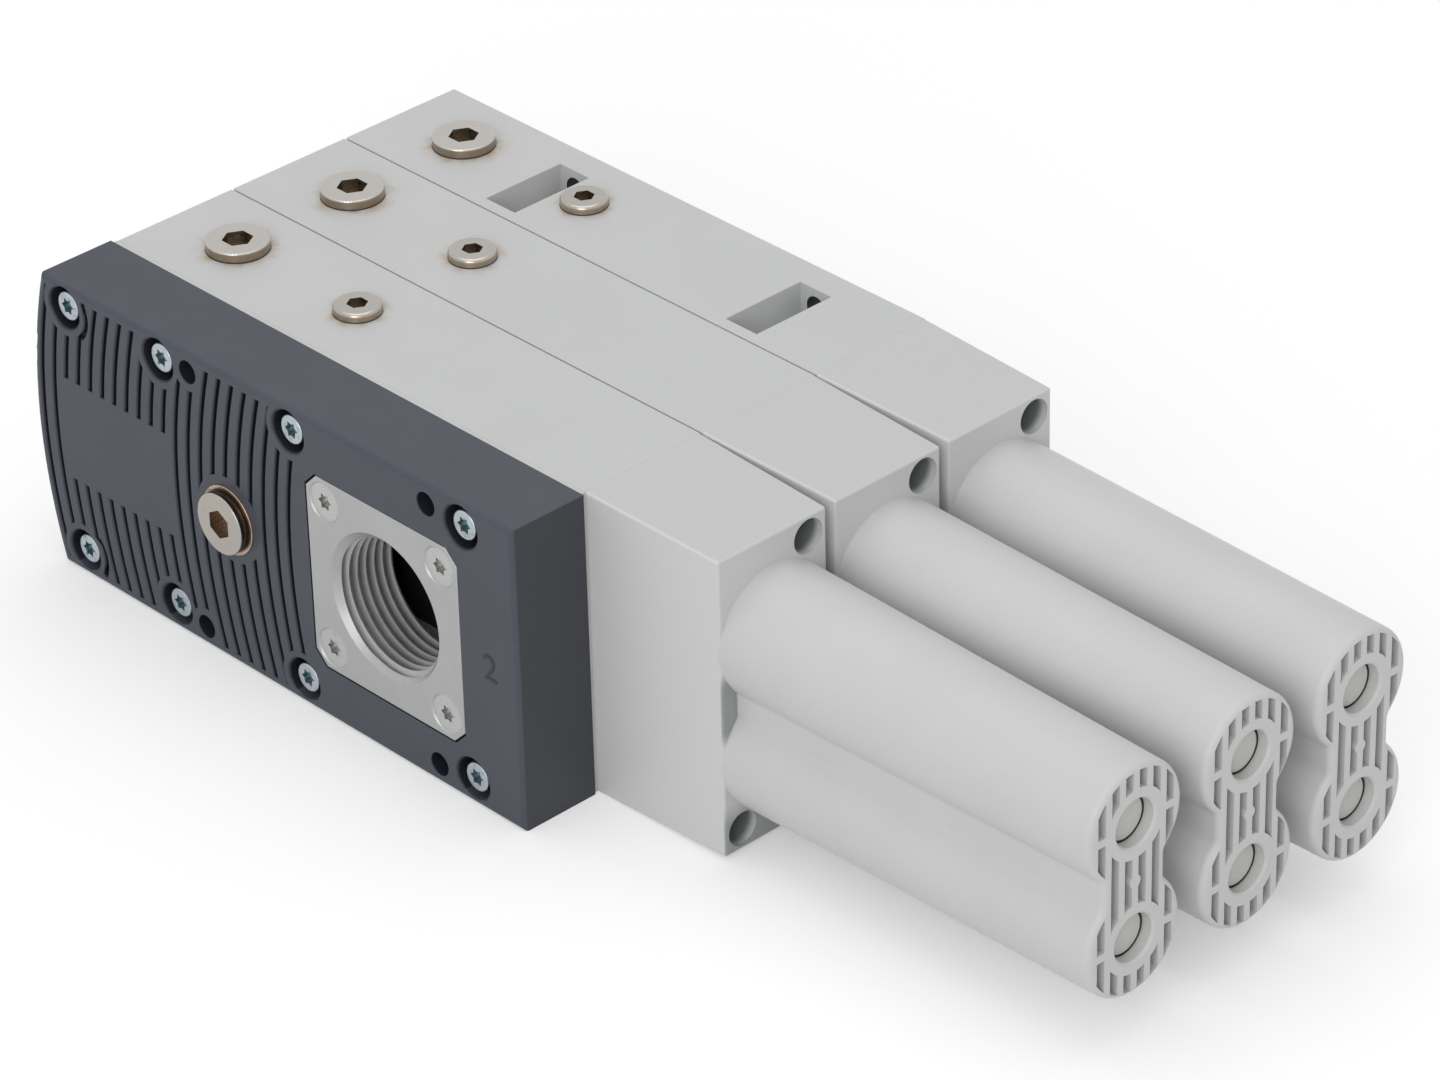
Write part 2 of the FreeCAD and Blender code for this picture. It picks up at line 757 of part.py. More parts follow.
def valve_plate(index):
    """The plate over a module's stages, with windows for the flaps."""
    seat = module_front(index) + plenum_depth
    y = (seat - valve_plate_thickness, seat)
    x = (plenum_x[0] + valve_plate_clearance, duct_x[0])
    low, high = ledge_z()
    sheet = box(x, y, (low + valve_plate_clearance, high - valve_plate_clearance))
    cuts = [box(window_x, y, window_z) for window_x, window_z in valve_windows()]
    for stage in stage_x[1:]:
        middle = (stage[0] + stage[1]) / 2
        cuts.append(rod(flap_screw_radius, V(middle, y[0], mid_z), V(middle, y[1], mid_z)))
    return sheet.cut(cuts)


def flap_valve(index, stage):
    """A rubber flap behind the valve plate, held in its middle, over a stage's two windows."""
    seat = module_front(index) + plenum_depth
    middle = (stage[0] + stage[1]) / 2
    half = window_width / 2 + flap_overlap
    low = line_heights["lower"] - window_height / 2 - flap_overlap
    y = (seat, seat + flap_thickness)
    flap = box((middle - half, middle + half), y, (low, body_height - low))
    return flap.cut(rod(flap_screw_radius, V(middle, y[0], mid_z), V(middle, y[1], mid_z)))


def flap_screws():
    """One round-head screw through the middle of each flap."""
    screws = []
    for index in range(module_count):
        front = module_front(index) + plenum_depth - valve_plate_thickness
        back = front + valve_plate_thickness + flap_thickness
        for stage in stage_x[1:]:
            middle = (stage[0] + stage[1]) / 2
            profile = [(-flap_screw_head_height, 0), (-flap_screw_head_height, flap_screw_head_radius),
                       (0, flap_screw_head_radius), (0, flap_screw_radius),
                       (back - front, flap_screw_radius), (back - front, 0)]
            screws.append(turned(profile, V(middle, front, mid_z), V(0, 1, 0)))
    return Part.makeCompound(screws)


# Silencers

def figure_eight(x, y, radius, waist):
    """A closed outline of two lobes joined at a soft waist, at one place along X."""
    rise = line_spacing / 2
    flat = waist_flat / 2
    reach = rise - flat
    hollow = (reach ** 2 + waist ** 2 - radius ** 2) / (2 * (radius - waist))
    centre = waist + hollow
    share = radius / (radius + hollow)
    side = (centre * share, rise - reach * share)
    bend_angle = math.atan2(reach, centre) / 2
    bend = (centre - hollow * math.cos(bend_angle), flat + hollow * math.sin(bend_angle))

    def at(point, side_y, side_z):
        return V(x, y + side_y * point[0], mid_z + side_z * point[1])

    pieces = []
    for side_y, side_z in ((1, 1), (-1, 1), (-1, -1), (1, -1)):
        low = (waist, flat)
        hollow_arc = Part.Arc(at(low, side_y, side_z), at(bend, side_y, side_z), at(side, side_y, side_z))
        pieces.append(hollow_arc.toShape())
    for side_z in (1, -1):
        pieces.append(Part.Arc(at(side, 1, side_z), V(x, y, mid_z + side_z * (rise + radius)),
                               at(side, -1, side_z)).toShape())
    for side_y in (1, -1):
        pieces.append(Part.makeLine(at((waist, flat), side_y, 1), at((waist, flat), side_y, -1)))
    return Part.Wire(Part.__sortEdges__(pieces))


def silencer_block(index):
    """The tapered block that bolts to the module."""
    front, back = module_front(index), module_front(index) + module_width

    def outline(x, side, top):
        corners = [V(x, front + side, top), V(x, back - side, top),
                   V(x, back - side, body_height - top), V(x, front + side, body_height - top)]
        return Part.makePolygon(corners + corners[:1])

    root = outline(module_length, 0, 0)
    end = outline(block_end, block_side_taper, block_top_taper)
    loft = Part.makeLoft([root, end], True, True)
    outer = [edge for edge in loft.Edges if edge.BoundBox.XMax > module_length + block_edge_round]
    return loft.makeFillet(block_edge_round, outer)


def silencer_tubes(index):
    """The twin tubes, tapered for the mould, with a rounded end rim."""
    y = module_axis(index)
    root = figure_eight(block_end - block_edge_round, y, lobe_root_radius, waist_root_half_width)
    end = figure_eight(tube_end, y, lobe_end_radius, waist_end_half_width)
    tubes = Part.makeLoft([root, end], True, True)
    rim = [edge for edge in tubes.Edges if edge.BoundBox.XMin > tube_end - tube_end_round / 2]
    return tubes.makeFillet(tube_end_round, rim)


def end_pockets(index):
    """The blind pockets between the ribs, webs and rings of the end face."""
    y = module_axis(index)
    depth = V(-end_pocket_depth, 0, 0)
    inside = figure_eight(tube_end, y, lobe_end_radius - end_wall, waist_end_half_width - end_wall)
    room = Part.Face(inside).extrude(depth)
    span = (tube_end - end_pocket_depth, tube_end)
    keep = []
    ribs = int(lobe_end_radius // rib_pitch)
    for number in range(-ribs, ribs + 1):
        middle = y + number * rib_pitch
        keep.append(box(span, (middle - rib_width / 2, middle + rib_width / 2), (0, body_height)))
    for z in line_heights.values():
        centre = V(tube_end, y, z)
        keep.append(rod(end_ring_radius, centre, centre + depth))
        keep.append(box(span, (y - lobe_root_radius, y + lobe_root_radius),
                        (z - end_web / 2, z + end_web / 2)))
    return room.cut(keep)


def silencer_hollows(index):
    """The exhaust chamber in the block, and the two bores with their narrower mouths."""
    front, back = module_front(index), module_front(index) + module_width
    y = module_axis(index)
    chamber_end = block_end - chamber_end_wall
    seat_end = chamber_end + core_seat_length
    width = (front + chamber_side_wall, back - chamber_side_wall)
    hollows = [box((module_length, chamber_end), width, cavity_z())]
    for z in line_heights.values():
        hollows.append(rod(core_radius, V(chamber_end, y, z), V(seat_end, y, z)))
        hollows.append(rod(bore_radius, V(seat_end, y, z), V(tube_end - mouth_length, y, z)))
        hollows.append(rod(mouth_radius, V(tube_end - mouth_length, y, z), V(tube_end, y, z)))
        rim = V(tube_end - mouth_chamfer, y, z)
        hollows.append(Part.makeCone(mouth_radius, mouth_radius + mouth_chamfer, mouth_chamfer, rim, V(1, 0, 0)))
    return hollows


def silencer(index):
    """Block and tubes in one moulding, with its screw recesses and ribbed end."""
    body = silencer_block(index).fuse(silencer_tubes(index))
    cuts = silencer_hollows(index) + [end_pockets(index), gasket_room(index)]
    for y, z in silencer_screw_points(index):
        seat = block_end - silencer_recess_depth
        cuts.append(rod(silencer_recess_radius, V(seat, y, z), V(block_end, y, z)))
        cuts.append(rod(clamp_hole_radius, V(module_length, y, z), V(seat, y, z)))
    gate = V(tube_end - end_pocket_depth, module_axis(index), mid_z)
    boss = rod(gate_radius, gate, gate + V(end_pocket_depth, 0, 0))
    return body.cut(cuts).fuse(boss).removeSplitter()


def gasket_room(index):
    """The shallow recess in the block's face that holds its gasket."""
    rim = seam_inset + seam_inset
    front, back = module_front(index), module_front(index) + module_width
    return box((module_length, module_length + silencer_gasket_thickness),
               (front + rim, back - rim), (cavity_foot - rim, body_height - cavity_foot + rim))


def silencer_gasket(index):
    """The thin gasket round the exhaust chamber."""
    x = (module_length, module_length + silencer_gasket_thickness)
    front, back = module_front(index), module_front(index) + module_width
    opening = box(x, (front + chamber_side_wall, back - chamber_side_wall), cavity_z())
    return gasket_room(index).cut(opening)


def silencer_core(index, z):
    """A porous tube gripped in the block and free in the bore, with a solid nose in the mouth."""
    y = module_axis(index)
    start = block_end - chamber_end_wall
    length = tube_end - core_face_depth - start
    shoulder = tube_end - mouth_length - core_shoulder_gap - start
    inner = core_radius - core_wall
    profile = [(0, inner), (0, core_radius), (shoulder, core_radius), (shoulder, core_nose_radius),
               (length, core_nose_radius), (length, 0), (shoulder - core_end_thickness, 0),
               (shoulder - core_end_thickness, inner)]
    return turned(profile, V(start, y, z), V(1, 0, 0))


def build():
    """All the pieces of the ejector by name."""
    pieces = {
        "connection_plate": connection_plate(),
        "port_flange": port_flange(),
        "port_flange_seal": port_flange_seal(),
        "port_flange_screws": port_flange_screws(),
        "clamping_screws": clamping_screws(),
        "front_plug": front_plug(),
        "front_plug_seal": front_plug_seal(),
        "plate_gasket": plate_gasket(),
        "air_plugs": air_plugs(),
        "air_plug_seals": air_plug_seals(),
        "gauge_plugs": gauge_plugs(),
        "gauge_plug_seals": gauge_plug_seals(),
        "flap_screws": flap_screws(),
        "silencer_screws": silencer_screws(),
    }
    for index in range(module_count):
        number = index + 1
        pieces[f"module_housing_{number}"] = module_housing(index)
        pieces[f"valve_plate_{number}"] = valve_plate(index)
        pieces[f"flap_valve_{number}_middle"] = flap_valve(index, stage_x[1])
        pieces[f"flap_valve_{number}_last"] = flap_valve(index, stage_x[2])
        pieces[f"silencer_{number}"] = silencer(index)
        pieces[f"silencer_gasket_{number}"] = silencer_gasket(index)
        if number < module_count:
            pieces[f"module_gasket_{number}"] = module_gasket(index)
        for line, z in line_heights.items():
            pieces[f"inlet_nozzle_{number}_{line}"] = inlet_nozzle(index, z)
            pieces[f"outlet_nozzle_{number}_{line}"] = outlet_nozzle(index, z)
            pieces[f"silencer_core_{number}_{line}"] = silencer_core(index, z)
    return pieces


os.makedirs("parts", exist_ok=True)
for name, shape in build().items():
    shape.translate(ORIGIN)
    shape.exportStep(f"parts/{name}.step")
    print(name, "valid" if shape.isValid() else "not valid", round(shape.Volume, 1), len(shape.Solids))
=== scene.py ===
"""Dresses a three-module vacuum ejector for a studio picture.

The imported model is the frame: connection plate, three grey modules and three twin silencers.
This script gives every piece its finish, cuts the thread of the vacuum port, sets the port's
number on the plate, and lights the ejector on a pale floor. Sizes are in millimetres, counted
as in the model's source: from the first module's lower left front corner.
"""

import logging
import math
from abc import ABC, abstractmethod
from collections.abc import Iterable
from dataclasses import dataclass
from enum import Enum

import bmesh
import bpy
from mathutils import Matrix, Vector


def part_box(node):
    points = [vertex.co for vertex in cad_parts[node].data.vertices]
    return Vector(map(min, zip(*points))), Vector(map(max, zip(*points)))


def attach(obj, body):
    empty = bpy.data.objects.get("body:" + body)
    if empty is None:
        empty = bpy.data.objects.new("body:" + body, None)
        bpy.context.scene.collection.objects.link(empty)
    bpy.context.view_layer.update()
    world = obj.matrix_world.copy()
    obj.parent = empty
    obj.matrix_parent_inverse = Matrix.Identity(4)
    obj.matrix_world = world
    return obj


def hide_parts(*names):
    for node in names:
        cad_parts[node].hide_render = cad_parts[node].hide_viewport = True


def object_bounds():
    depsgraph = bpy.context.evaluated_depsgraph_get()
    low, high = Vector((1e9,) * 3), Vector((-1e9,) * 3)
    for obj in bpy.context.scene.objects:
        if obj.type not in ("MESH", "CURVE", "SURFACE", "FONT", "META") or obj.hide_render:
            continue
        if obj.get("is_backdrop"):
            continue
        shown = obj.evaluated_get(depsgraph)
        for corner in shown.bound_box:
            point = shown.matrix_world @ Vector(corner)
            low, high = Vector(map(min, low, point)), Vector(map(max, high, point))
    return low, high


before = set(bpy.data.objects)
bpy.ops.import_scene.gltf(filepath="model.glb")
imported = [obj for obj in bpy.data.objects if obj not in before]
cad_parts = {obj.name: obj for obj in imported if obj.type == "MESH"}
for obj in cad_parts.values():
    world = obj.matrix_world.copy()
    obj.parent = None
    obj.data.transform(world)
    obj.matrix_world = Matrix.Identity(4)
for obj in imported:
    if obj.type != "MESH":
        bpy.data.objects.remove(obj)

MM = 0.001
BODY = "root"
WHITE = (1.0, 1.0, 1.0, 1.0)
Colour = tuple[float, float, float]
Place = tuple[float, float, float]
Span = tuple[float, float]
Socket = bpy.types.NodeSocket
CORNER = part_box("module_housing_1")[0]
log = logging.getLogger("ejector")


def place(x: float, y: float, z: float) -> Vector:
    """Turns a place in the source's millimetres into the frame's metres.

    Args:
        x: Along the modules, towards the silencers.
        y: From the first module's front face towards the back.
        z: Height above the underside.

    Returns:
        The point in the frame.
    """
    return CORNER + Vector((x, y, z)) * MM


class Slot(Enum):
    """The material slots of the record, which new pieces are handed but do not use."""

    PLATE = "dark_plate"
    FLANGE = "flange_metal"


@dataclass(frozen=True)
class Plate:
    """The connection plate in front of the modules, with its arc-shaped left end."""

    face_y: float = -20.7
    right_x: float = 150.4
    arc_middle_x: float = 119.6
    arc_radius: float = 126.0
    plug: Place = (59.0, 0.0, 36.5)


@dataclass(frozen=True)
class Modules:
    """The three modules, side by side behind the plate."""

    count: int = 3
    pitch: float = 32.7
    middle: float = 16.15
    height: float = 73.0

    @classmethod
    def repeat(cls, x: float, y: float, z: float) -> tuple[Place, ...]:
        """One place of the first module, in each module in turn."""
        return tuple((x, y + module * cls.pitch, z) for module in range(cls.count))


@dataclass(frozen=True)
class Seat:
    """Where a plug sits on top of a module."""

    centre: Vector
    radius: float


@dataclass(frozen=True)
class TopPlugs:
    """The plugs on top of the modules, a large and a small one to each."""

    large_x: float = 21.5
    large_radius: float = 7.2
    small_x: float = 61.0
    small_radius: float = 5.45

    @classmethod
    def middles(cls, x: float) -> tuple[Place, ...]:
        """The middles of one row of plugs, in the source's millimetres."""
        return Modules.repeat(x, Modules.middle, Modules.height)

    @classmethod
    def seats(cls) -> Iterable[Seat]:
        """Gives each plug's seat.

        Returns:
            One seat for each plug of each module.
        """
        for x, radius in ((cls.large_x, cls.large_radius), (cls.small_x, cls.small_radius)):
            for middle in cls.middles(x):
                yield Seat(place(*middle), radius)


@dataclass(frozen=True)
class Mouths:
    """The open ends of the silencers' tubes, each with the nose of a core in it."""

    end_x: float = 287.0
    radius: float = 5.35
    nose_radius: float = 5.0
    nose_depth: float = 3.0
    heights: Span = (23.0, 50.0)

    @classmethod
    def middles(cls) -> list[Place]:
        """The middles of the mouths, in the source's millimetres."""
        return [middle for z in cls.heights for middle in Modules.repeat(cls.end_x, Modules.middle, z)]


@dataclass(frozen=True)
class Recesses:
    """The recesses of the silencers' screws, on opposite corners of each block."""

    face_x: float = 187.4
    radius: float = 4.0
    corners: tuple[tuple[float, float], ...] = ((6.2, 5.8), (26.1, 67.2))

    @classmethod
    def middles(cls) -> list[Place]:
        """The middles of the recesses' mouths, in the source's millimetres."""
        return [middle for y, z in cls.corners for middle in Modules.repeat(cls.face_x, y, z)]


class Nodes:
    """A node tree under construction."""

    def __init__(self, tree: bpy.types.NodeTree) -> None:
        """Starts on a tree."""
        self.tree = tree

    def feed(self, socket: Socket, value: object) -> None:
        """Sets a socket to a number or colour, or links another socket to it.

        Args:
            socket: The input to feed.
            value: A number, a colour or an output.
        """
        if isinstance(value, Socket):
            self.tree.links.new(value, socket)
        else:
            socket.default_value = value

    def add(self, kind: str, **inputs: object) -> bpy.types.Node:
        """Adds a node.

        Args:
            kind: The end of Blender's name of the node.
            **inputs: What its inputs get, with _ for each space in their names.

        Returns:
            The node.
        """
        node = self.tree.nodes.new("ShaderNode" + kind)
        for name, value in inputs.items():
            self.feed(node.inputs[name.replace("_", " ")], value)
        return node

    def math(self, operation: str, *values: object) -> Socket:
        """Adds a Math node.

        Args:
            operation: Blender's name of the operation.
            *values: Numbers or sockets, in the node's order.

        Returns:
            The result's socket.
        """
        node = self.add("Math")
        node.operation = operation
        for socket, value in zip(node.inputs, values):
            self.feed(socket, value)
        return node.outputs["Value"]

    def times(self, first: object, second: object) -> Socket:
        """Multiplies two numbers or sockets."""
        return self.math("MULTIPLY", first, second)

    def scale(self, value: Socket, low: float, high: float) -> Socket:
        """Maps 0 to 1 onto low to high."""
        return self.add("MapRange", Value=value, To_Min=low, To_Max=high).outputs["Result"]


class Sketch(Nodes):
    """A procedural material under construction, on the piece's own object coordinates."""

    facing_span: Span = (0.90, 0.99)
    edge_span: Span = (0.985, 0.80)

    def __init__(self, name: str, colour: Colour, roughness: float, metallic: float) -> None:
        """Starts a material.

        Args:
            name: The material's name.
            colour: Its plain base colour, linear.
            roughness: Its plain roughness.
            metallic: 1 for bare metal, 0 for anything else.
        """
        self.material = bpy.data.materials.new(name)
        self.material.use_nodes = True
        super().__init__(self.material.node_tree)
        self.surface = self.tree.nodes["Principled BSDF"].inputs
        self.surface["Base Color"].default_value = (*colour, 1.0)
        self.surface["Roughness"].default_value = roughness
        self.surface["Metallic"].default_value = metallic
        coordinates = self.add("TexCoord").outputs
        self.position = coordinates["Object"]
        self.normal = coordinates["Normal"]

    def base(self, colour: Socket) -> None:
        """Sets the surface's base colour."""
        self.feed(self.surface["Base Color"], colour)

    def roughness(self, value: Socket) -> None:
        """Sets the surface's roughness."""
        self.feed(self.surface["Roughness"], value)

    def axis(self, vector: Socket, letter: str) -> Socket:
        """Takes one coordinate, X, Y or Z, out of a vector."""
        return self.add("SeparateXYZ", Vector=vector).outputs[letter]

    def span(self, value: Socket, low: float, high: float) -> Socket:
        """Maps a value smoothly to 0 at low and 1 at high, clamped.

        Args:
            value: The socket to map.
            low: Where the result is 0.
            high: Where the result is 1.

        Returns:
            The mapped value.
        """
        node = self.add("MapRange", Value=value, From_Min=low, From_Max=high)
        node.interpolation_type = "SMOOTHSTEP"
        return node.outputs["Result"]

    def span_mm(self, length: Socket, low: float, high: float) -> Socket:
        """Does as span does for a length in metres, with low and high in millimetres."""
        return self.span(length, low * MM, high * MM)

    def noise(self, size: float, detail: float = 2.0, stretch: Place = (1.0, 1.0, 1.0)) -> Socket:
        """Adds a soft noise.

        Args:
            size: The width of a typical patch, in millimetres.
            detail: How many finer layers it has.
            stretch: How much each axis is squeezed before the noise is read.

        Returns:
            The noise's factor.
        """
        mapping = self.add("Mapping", Vector=self.position, Scale=stretch)
        node = self.add("TexNoise", Vector=mapping.outputs["Vector"], Scale=1.0 / (size * MM),
                        Detail=detail)
        return node.outputs["Fac"]

    def cells(self, size: float) -> Socket:
        """Adds a sintered surface's grains, as the distance to each one's middle."""
        node = self.add("TexVoronoi", Vector=self.position, Scale=1.0 / (size * MM))
        return node.outputs["Distance"]

    def blend(self, share: object, first: object, second: object) -> Socket:
        """Mixes two colours.

        Args:
            share: 0 for the first colour, 1 for the second.
            first: A colour or a socket.
            second: A colour or a socket.

        Returns:
            The mixed colour.
        """
        node = self.add("Mix")
        node.data_type = "RGBA"
        self.feed(node.inputs["Factor"], share)
        for name, colour in (("A", first), ("B", second)):
            socket = next(s for s in node.inputs if s.name == name and s.type == "RGBA")
            self.feed(socket, (*colour, 1.0) if isinstance(colour, tuple) else colour)
        return next(s for s in node.outputs if s.type == "RGBA")

    def facing(self, letter: str) -> Socket:
        """Finds faces that look along X, Y or Z, in the axis's own sense."""
        return self.span(self.axis(self.normal, letter), *self.facing_span)

    def rounded_edges(self) -> Socket:
        """Finds rounded edges.

        Returns:
            0 on faces square to an axis, up to 1 where the surface turns.
        """
        parts = [self.math("ABSOLUTE", self.axis(self.normal, letter)) for letter in "XYZ"]
        largest = self.math("MAXIMUM", self.math("MAXIMUM", parts[0], parts[1]), parts[2])
        return self.span(largest, *self.edge_span)

    def depth(self, face: Vector, along: str, inward: float) -> Socket:
        """Measures how far a point lies behind a flat face, in metres.

        Args:
            face: A point on the face, in the frame.
            along: The axis square to the face, X, Y or Z.
            inward: 1 where the axis runs into the face, -1 where it runs out of it.

        Returns:
            The depth, below 0 in front of the face.
        """
        off = self.math("SUBTRACT", self.axis(self.position, along), face["XYZ".index(along)])
        return self.times(off, inward)

    def distance_from(self, line: Vector, along: str) -> Socket:
        """Measures how far a point is from a line along X, Y or Z, in metres.

        Args:
            line: A point on the line, in the frame.
            along: The axis that the line runs along.

        Returns:
            The distance.
        """
        squares = []
        for letter, value in zip("XYZ", line):
            if letter != along:
                off = self.math("SUBTRACT", self.axis(self.position, letter), value)
                squares.append(self.times(off, off))
        return self.math("SQRT", self.math("ADD", *squares))

    def nearest(self, middles: Iterable[Place], along: str) -> Socket:
        """Measures how far a point is from the nearest of several parallel lines, in metres.

        Args:
            middles: A place on each line, in the source's millimetres.
            along: The axis that the lines run along.

        Returns:
            The distance.
        """
        away = [self.distance_from(place(*middle), along) for middle in middles]
        least = away[0]
        for other in away[1:]:
            least = self.math("MINIMUM", least, other)
        return least

    def walls(self, middles: Iterable[Place], along: str, radius: float, margins: Span) -> Socket:
        """Finds the walls of round holes.

        Args:
            middles: A place on each hole's axis, in the source's millimetres.
            along: The axis that the holes run along.
            radius: The holes' radius, in millimetres.
            margins: How far outside the radius the result is 0 and 1.

        Returns:
            1 up to the walls, 0 beyond them.
        """
        return self.span_mm(self.nearest(middles, along), *(radius + margin for margin in margins))

    def bump(self, height: Socket, depth: float) -> None:
        """Adds relief to the surface, on top of any that it has.

        Args:
            height: A factor from 0 to 1.
            depth: The relief's depth where the factor is 1, in millimetres.
        """
        node = self.add("Bump", Distance=depth * MM, Height=height)
        normal = self.surface["Normal"]
        if normal.is_linked:
            self.feed(node.inputs["Normal"], normal.links[0].from_socket)
        self.feed(normal, node.outputs["Normal"])


@dataclass(frozen=True)
class Finish(ABC):
    """What every finish has: a name, a colour and a roughness, with patches and a grain."""

    name: str
    colour: Colour
    roughness: float
    metallic: float = 0.0
    drift: float = 0.05
    drift_size: float = 22.0
    patch_span: Span = (0.3, 0.7)
    slow_share: float = 0.65
    grain_size: float = 0.35
    grain_depth: float = 0.02
    gloss_spread: float = 0.05

    def material(self) -> bpy.types.Material:
        """Makes the finish's material.

        Returns:
            The painted material.
        """
        sketch = Sketch(self.name, self.colour, self.roughness, self.metallic)
        self.paint(sketch)
        return sketch.material

    @abstractmethod
    def paint(self, sketch: Sketch) -> None:
        """Adds the finish's own colour, gloss and relief to a sketch."""

    def shade(self, factor: float) -> Colour:
        """The finish's colour, lighter or darker by a factor."""
        red, green, blue = self.colour
        return (red * factor, green * factor, blue * factor)

    def patches(self, sketch: Sketch) -> Socket:
        """Mixes slow patches and a fine grain into the base colour.

        Args:
            sketch: The material so far.

        Returns:
            The mottled colour.
        """
        slow = sketch.span(sketch.noise(self.drift_size, detail=3.0), *self.patch_span)
        fine = sketch.span(sketch.noise(self.grain_size * 2, detail=1.0), *self.patch_span)
        mixed = sketch.math("ADD", sketch.times(slow, self.slow_share),
                            sketch.times(fine, 1 - self.slow_share))
        return sketch.blend(mixed, self.shade(1 - self.drift), self.shade(1 + self.drift))

    def gloss(self, sketch: Sketch) -> None:
        """Lets the roughness wander round its plain value."""
        low, high = self.roughness - self.gloss_spread, self.roughness + self.gloss_spread
        sketch.roughness(sketch.scale(sketch.noise(self.drift_size / 3, detail=3.0), low, high))

    def grain(self, sketch: Sketch) -> None:
        """Adds the surface's fine relief."""
        sketch.bump(sketch.noise(self.grain_size), self.grain_depth)


@dataclass(frozen=True)
class Plain(Finish):
    """Rubber, and plastic that hardly shows: patches and a grain only."""

    def paint(self, sketch: Sketch) -> None:
        """Adds patches and a grain.

        Args:
            sketch: The material so far.
        """
        sketch.base(self.patches(sketch))
        self.gloss(sketch)
        self.grain(sketch)


@dataclass(frozen=True)
class Anodised(Finish):
    """The slate plate: blasted and anodised, with paler rounded edges and painted shade in its recesses.

    Its cut right side is painted darker and less blue, as painted shade.
    """

    side: Colour = (0.047, 0.049, 0.056)
    specular: float = 0.34
    edge_gain: float = 1.35
    edge_share: float = 0.3
    worn_size: float = 1.6
    worn_span: Span = (0.35, 0.75)
    rim: float = 1.7
    rim_blur: float = 0.3
    recess_shade: Colour = (0.010, 0.012, 0.020)
    recess_shade_share: float = 0.90
    recess_shade_span: Span = (0.04, 0.40)

    def paint(self, sketch: Sketch) -> None:
        """Adds patches, worn edges, painted shade in the recesses and a blasted grain.

        Args:
            sketch: The material so far.
        """
        worn = sketch.span(sketch.noise(self.worn_size, detail=3.0), *self.worn_span)
        worn = sketch.times(sketch.times(sketch.rounded_edges(), self.edge_share), worn)
        # Painted shade: faces looking along +X, the plate's right side, take the darker side colour.
        colour = sketch.blend(sketch.facing("X"), self.patches(sketch), self.side)
        colour = sketch.blend(worn, colour, self.shade(self.edge_gain))
        # Painted shade: grooves and holes behind the face are painted nearly black.
        sketch.base(sketch.blend(self.recesses(sketch), colour, self.recess_shade))
        sketch.surface["Specular IOR Level"].default_value = self.specular
        self.gloss(sketch)
        self.grain(sketch)

    def recesses(self, sketch: Sketch) -> Socket:
        """Finds grooves and holes: everything behind the face and inside the plate's rim.

        Args:
            sketch: The material so far.

        Returns:
            The share of painted shade, 0 on the plate's outside.
        """
        face = place(0.0, Plate.face_y, 0.0)
        low, high = place(0.0, 0.0, 0.0), place(Plate.right_x, 0.0, Modules.height)
        deep = sketch.span_mm(sketch.depth(face, "Y", 1.0), *self.recess_shade_span)
        for edge in (sketch.depth(low, "Z", 1.0), sketch.depth(high, "Z", -1.0),
                     sketch.depth(high, "X", -1.0)):
            deep = sketch.times(deep, sketch.span_mm(edge, self.rim, self.rim + self.rim_blur))
        arc = sketch.distance_from(place(Plate.arc_middle_x, 0.0, Modules.height / 2), "Y")
        reach = Plate.arc_radius - self.rim
        deep = sketch.times(deep, sketch.span_mm(arc, reach, reach - self.rim_blur))
        return sketch.times(deep, self.recess_shade_share)


@dataclass(frozen=True)
class Moulded(Finish):
    """Light grey moulded plastic, faintly yellowed in patches, with a spark-eroded grain."""

    gloss_spread: float = 0.06
    aged: Colour = (0.52, 0.515, 0.475)
    aged_share: float = 0.28
    aged_size: float = 48.0
    aged_span: Span = (0.52, 0.78)

    def paint(self, sketch: Sketch) -> None:
        """Adds patches, ageing and the mould's grain.

        Args:
            sketch: The material so far.
        """
        sketch.base(self.body_colour(sketch))
        self.gloss(sketch)
        sketch.bump(sketch.noise(self.drift_size), self.grain_depth * 2)
        self.grain(sketch)

    def body_colour(self, sketch: Sketch) -> Socket:
        """The plastic's colour with its yellowed patches."""
        old = sketch.span(sketch.noise(self.aged_size, detail=4.0), *self.aged_span)
        return sketch.blend(sketch.times(old, self.aged_share), self.patches(sketch), self.aged)


